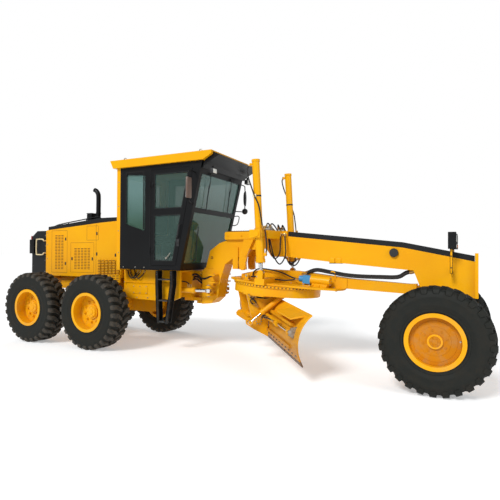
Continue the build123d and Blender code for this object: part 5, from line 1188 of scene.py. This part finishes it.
plumbed("drawbar_front", [[(x, y, z + lift) for x, z in RUN]
                          for y, lift in ((-0.10, 0.0), (-0.055, 0.024), (-0.01, -0.004))],
        0.019, "drawbar_body", ("front_body", (2.95, 0, 1.39), (3.30, 0, 1.48)))
plumbed("drawbar_rear", [
    [(0.730, -0.10, 1.325), (0.755, -0.11, 1.43), (0.902, -0.14, 1.485), (1.233, -0.14, 1.44),
     (1.50, -0.20, 1.35), (1.64, -0.24, 1.33)],
    [(0.70, -0.40, 1.30), (0.85, -0.36, 1.36), (1.136, -0.32, 1.33), (1.40, -0.30, 1.31),
     (1.60, -0.27, 1.33)],
    [(0.70, 0.40, 1.30), (0.85, 0.34, 1.36), (1.136, 0.25, 1.38), (1.40, 0.10, 1.40)]], 0.012, "drawbar_body")
RING_RADIUS = 0.7462
TEETH = 80
teeth = bmesh.new()
for k in range(TEETH):
    turn = math.tau * k / TEETH
    face = Vector((math.cos(turn), math.sin(turn), 0))
    half = Vector((-face.y, face.x, 0)) * 0.012
    start, end = face * RING_RADIUS - half, face * RING_RADIUS + half
    gap = [on_bar(spot.x, spot.y, z)
           for spot, z in ((start, 0.026), (end, 0.026), (end, 0.045), (start, 0.045))]
    prism(teeth, gap, (fore * face.x + Y * face.y) * -0.004)
# Dark brown in the shadow colour: painted shade in the gaps between the teeth.
tooth_gap_shade = mottled("tooth_gap_painted_shade", 30.0, (0.055, 0.020, 0.004), (0.20, 0.080, 0.008), Roughness=0.5)
finished("circle_tooth_gaps", teeth, tooth_gap_shade, "circle_body", "steel")

# ---- blade arms, tilt and side shift ----
# Two arms hang from the ring and hold the tilting brackets. The tilt cylinder lies along the right arm and
# its hoses loop over the arm. The side-shift cylinder lies between the rails behind the blade.

arm_parts = bmesh.new()
arm_bolts = bmesh.new()
for side in (-1, 1):
    cap_face = on_circle(-0.40, side * 0.46, -0.54)
    bar(arm_parts, on_circle(-0.40, side * 0.38, -0.54), cap_face, 0.060, sides=32)
    for spot in around(cap_face, 0.042, 6, ahead_blade, up):
        nut(arm_bolts, spot, along_blade * side, 0.008)
finished("blade_arm_hinge_caps", arm_parts, yellow_paint, "blade_tilt", "yellow_paint")
finished("blade_arm_hinge_bolts", arm_bolts, zinc, "blade_tilt", "steel")
plumbed("blade_arm", [[on_circle(x, -0.43, z) for x, z in route] for route in (
    [(-0.58, -0.13), (-0.55, -0.17), (-0.50, -0.20), (-0.46, -0.25), (-0.43, -0.30)],
    [(-0.47, -0.13), (-0.50, -0.17), (-0.55, -0.21), (-0.53, -0.26), (-0.47, -0.28)],
    [(-0.53, -0.13), (-0.52, -0.18), (-0.47, -0.23), (-0.45, -0.29)],
    [(-0.50, -0.15), (-0.42, -0.16), (-0.33, -0.165), (-0.25, -0.15), (-0.18, -0.13)])],
        0.011, "circle_body")
tip_start = Vector(linkage["tip_barrel_swing"]["pos_m"])
tip_way = Vector(linkage["tip_rod_slide"]["axis"])
low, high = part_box("tip_rod")
if tip_way.dot((low + high) / 2 - tip_start) < 0:
    tip_way = -tip_way
gland = bmesh.new()
bar(gland, tip_start + tip_way * 0.440, tip_start + tip_way * 0.494, 0.053, sides=28)
bar(gland, tip_start + tip_way * 0.494, tip_start + tip_way * 0.503, 0.036, sides=24)
bar(gland, tip_start + tip_way * 0.040, tip_start + tip_way * 0.070, 0.049, sides=28)
finished("tip_barrel_gland", gland, yellow_paint, "tip_barrel", "yellow_paint")
ROD_X, ROD_Z = -0.290, -0.430
shift = bmesh.new()
for start, end, radius in ((-1.152, -1.095, 0.050), (-0.80, -0.76, 0.049)):
    bar(shift, on_circle(ROD_X, start, ROD_Z), on_circle(ROD_X, end, ROD_Z), radius, sides=28)
for y in (-1.12, -0.80):
    bar(shift, on_circle(ROD_X, y, ROD_Z), on_circle(-0.355, y, -0.405), 0.018, sides=12)
finished("shift_cylinder_glands", shift, yellow_paint, "blade_tilt", "yellow_paint")
SHIFT_HOSES = (
    ((-0.355, -1.12, -0.405), (-0.40, -1.04, -0.385), (-0.415, -0.90, -0.40), (-0.40, -0.70, -0.42),
     (-0.375, -0.56, -0.45)),
    ((-0.355, -0.80, -0.405), (-0.385, -0.72, -0.395), (-0.39, -0.62, -0.43), (-0.375, -0.54, -0.48)))
plumbed("shift", [[on_circle(*spot) for spot in route] for route in SHIFT_HOSES], 0.011, "blade_tilt")

# ---- blade: bolted edge, lugs and wear ----
# A curved moldboard of rolled plate. Plough bolts hold the cutting edge, their nuts at the back, and its
# lower part is scoured by soil.

BLADE_X, BLADE_Z, BLADE_RADIUS = 0.286, -0.555, 0.513  # middle and radius of the blade's rear face


def behind_blade(y, z, out=0.0):
    """A point on the blade's rear face, or out from it."""
    return on_circle(BLADE_X - math.sqrt((BLADE_RADIUS + out) ** 2 - (z - BLADE_Z) ** 2), y, z)


edge_nuts = bmesh.new()
spots = [(-1.80 + k * 0.158, z, 0.013) for k in range(25) for z in (-0.735, -0.815)]
spots += [(-1.70 + 0.062 * (k % 2), -0.40 - 0.05 * (k // 2), 0.011) for k in range(6)]
for y, z, size in spots:
    place = behind_blade(y, z, 0.001)
    nut(edge_nuts, place, place - behind_blade(y, z, -0.05), size)
finished("blade_edge_nuts", edge_nuts, worn, "blade", "steel")
lugs = bmesh.new()
ear = ((-0.36, 0.0), (-0.38, 0.075), (-0.48, 0.080), (-0.52, 0.0))
prism(lugs, [behind_blade(-1.745, z, out) for z, out in ear], along_blade * 0.018)
bar(lugs, on_circle(ROD_X, -1.765, ROD_Z), on_circle(ROD_X, -1.69, ROD_Z), 0.024)
finished("blade_shift_lugs", lugs, zinc, "blade", "steel")
scoured = Finish("scoured_enamel")
height = scoured.node("ShaderNodeSeparateXYZ", None, {"Vector": scoured.place()}, output=2)
patches = scoured.noise(5.0, 6.0, 0.65, (1.0, 1.0, 2.2))
streaks = scoured.noise(22.0, 5.0, 0.6, (1.0, 1.0, 5.0))
wear = (scoured.ramp(height, 0.90, 0.42) + (patches - 0.5) * 1.4).clamped()
paint = scoured.mix(streaks, (0.82, 0.385, 0.003, 1), (0.74, 0.315, 0.002, 1))
soil = scoured.mix(streaks, (0.42, 0.17, 0.020, 1), (0.22, 0.085, 0.018, 1))
scoured.set(Base_Color=scoured.mix(wear * 0.75, paint, soil), Roughness=0.5, Coat_Weight=0.02,
            Specular_IOR_Level=0.3, Normal=scoured.bump(streaks, 0.15, 0.002))
repaint(scoured, "moldboard")
edge_steel = Finish("edge_steel")
edge_steel.set(Base_Color=edge_steel.mix(edge_steel.noise(14.0, 6.0), (0.060, 0.030, 0.014, 1),
                                         (0.20, 0.10, 0.045, 1)),
               Metallic=0.35, Roughness=0.55, Normal=edge_steel.bump(edge_steel.noise(60.0), 0.3, 0.002))
repaint(edge_steel, "cutting_edge")

# ---- front axle and lamps ----
# A cast axle swings on a pin under the frame's nose; bolts hold the pin's cap and the two small pads over
# it. The headlamps sit in boxes on posts at the nose.

axle_bolts = bmesh.new()
axle_parts = bmesh.new()
for side in (1, -1):
    for k in range(5):
        nut(axle_bolts, (3.640 + 0.02 * k, side * 0.16, 1.04), Z, 0.010)
    slab(axle_parts, (3.640, side * 0.13 - 0.02, 1.036), (3.740, side * 0.13 + 0.02, 1.050), 0.004)
    for spot in around((3.791, side * 0.11, 0.93), 0.05, 6, Y, Z):
        nut(axle_bolts, spot, X, 0.008)
finished("front_axle_bolts", axle_bolts, zinc, "front_body", "steel")
finished("front_axle_cylinders", axle_parts, yellow_paint, "front_body", "yellow_paint")
LAMP_FACE = 3.898
LAMP_Y = 0.33
lenses = bmesh.new()
bezels = bmesh.new()
amber = bmesh.new()
posts = bmesh.new()
for side in (1, -1):
    y = side * LAMP_Y
    for z, size in ((1.965, 0.058), (1.855, 0.032)):
        bar(lenses, (LAMP_FACE, y, z), (LAMP_FACE + 0.008, y, z), size, size * 0.86, 36)
        bar(bezels, (LAMP_FACE - 0.005, y, z), (LAMP_FACE + 0.005, y, z), size * 1.16, size * 1.1, 36)
    slab(amber, (LAMP_FACE, side * 0.285 - 0.022, 1.845), (LAMP_FACE + 0.008, side * 0.285 + 0.022, 1.885),
         0.003)
    slab(posts, (3.826, y - 0.024, 1.485), (3.850, y + 0.024, 1.815), 0.004)
    for z in (1.56, 1.72):
        nut(bezels, (3.838, side * 0.352, z), Y * side, 0.009)
amber_lens = mottled("amber_lens", 60.0, (0.75, 0.20, 0.01), (0.60, 0.14, 0.01), Roughness=0.2)
finished("headlamp_lenses", lenses, lens, "front_body", "tinted_glass")
finished("headlamp_bezels", bezels, plastic, "front_body", "black_plastic")
finished("turn_lamps", amber, amber_lens, "front_body", "tinted_glass")
finished("headlamp_posts", posts, yellow_paint, "front_body", "yellow_paint")
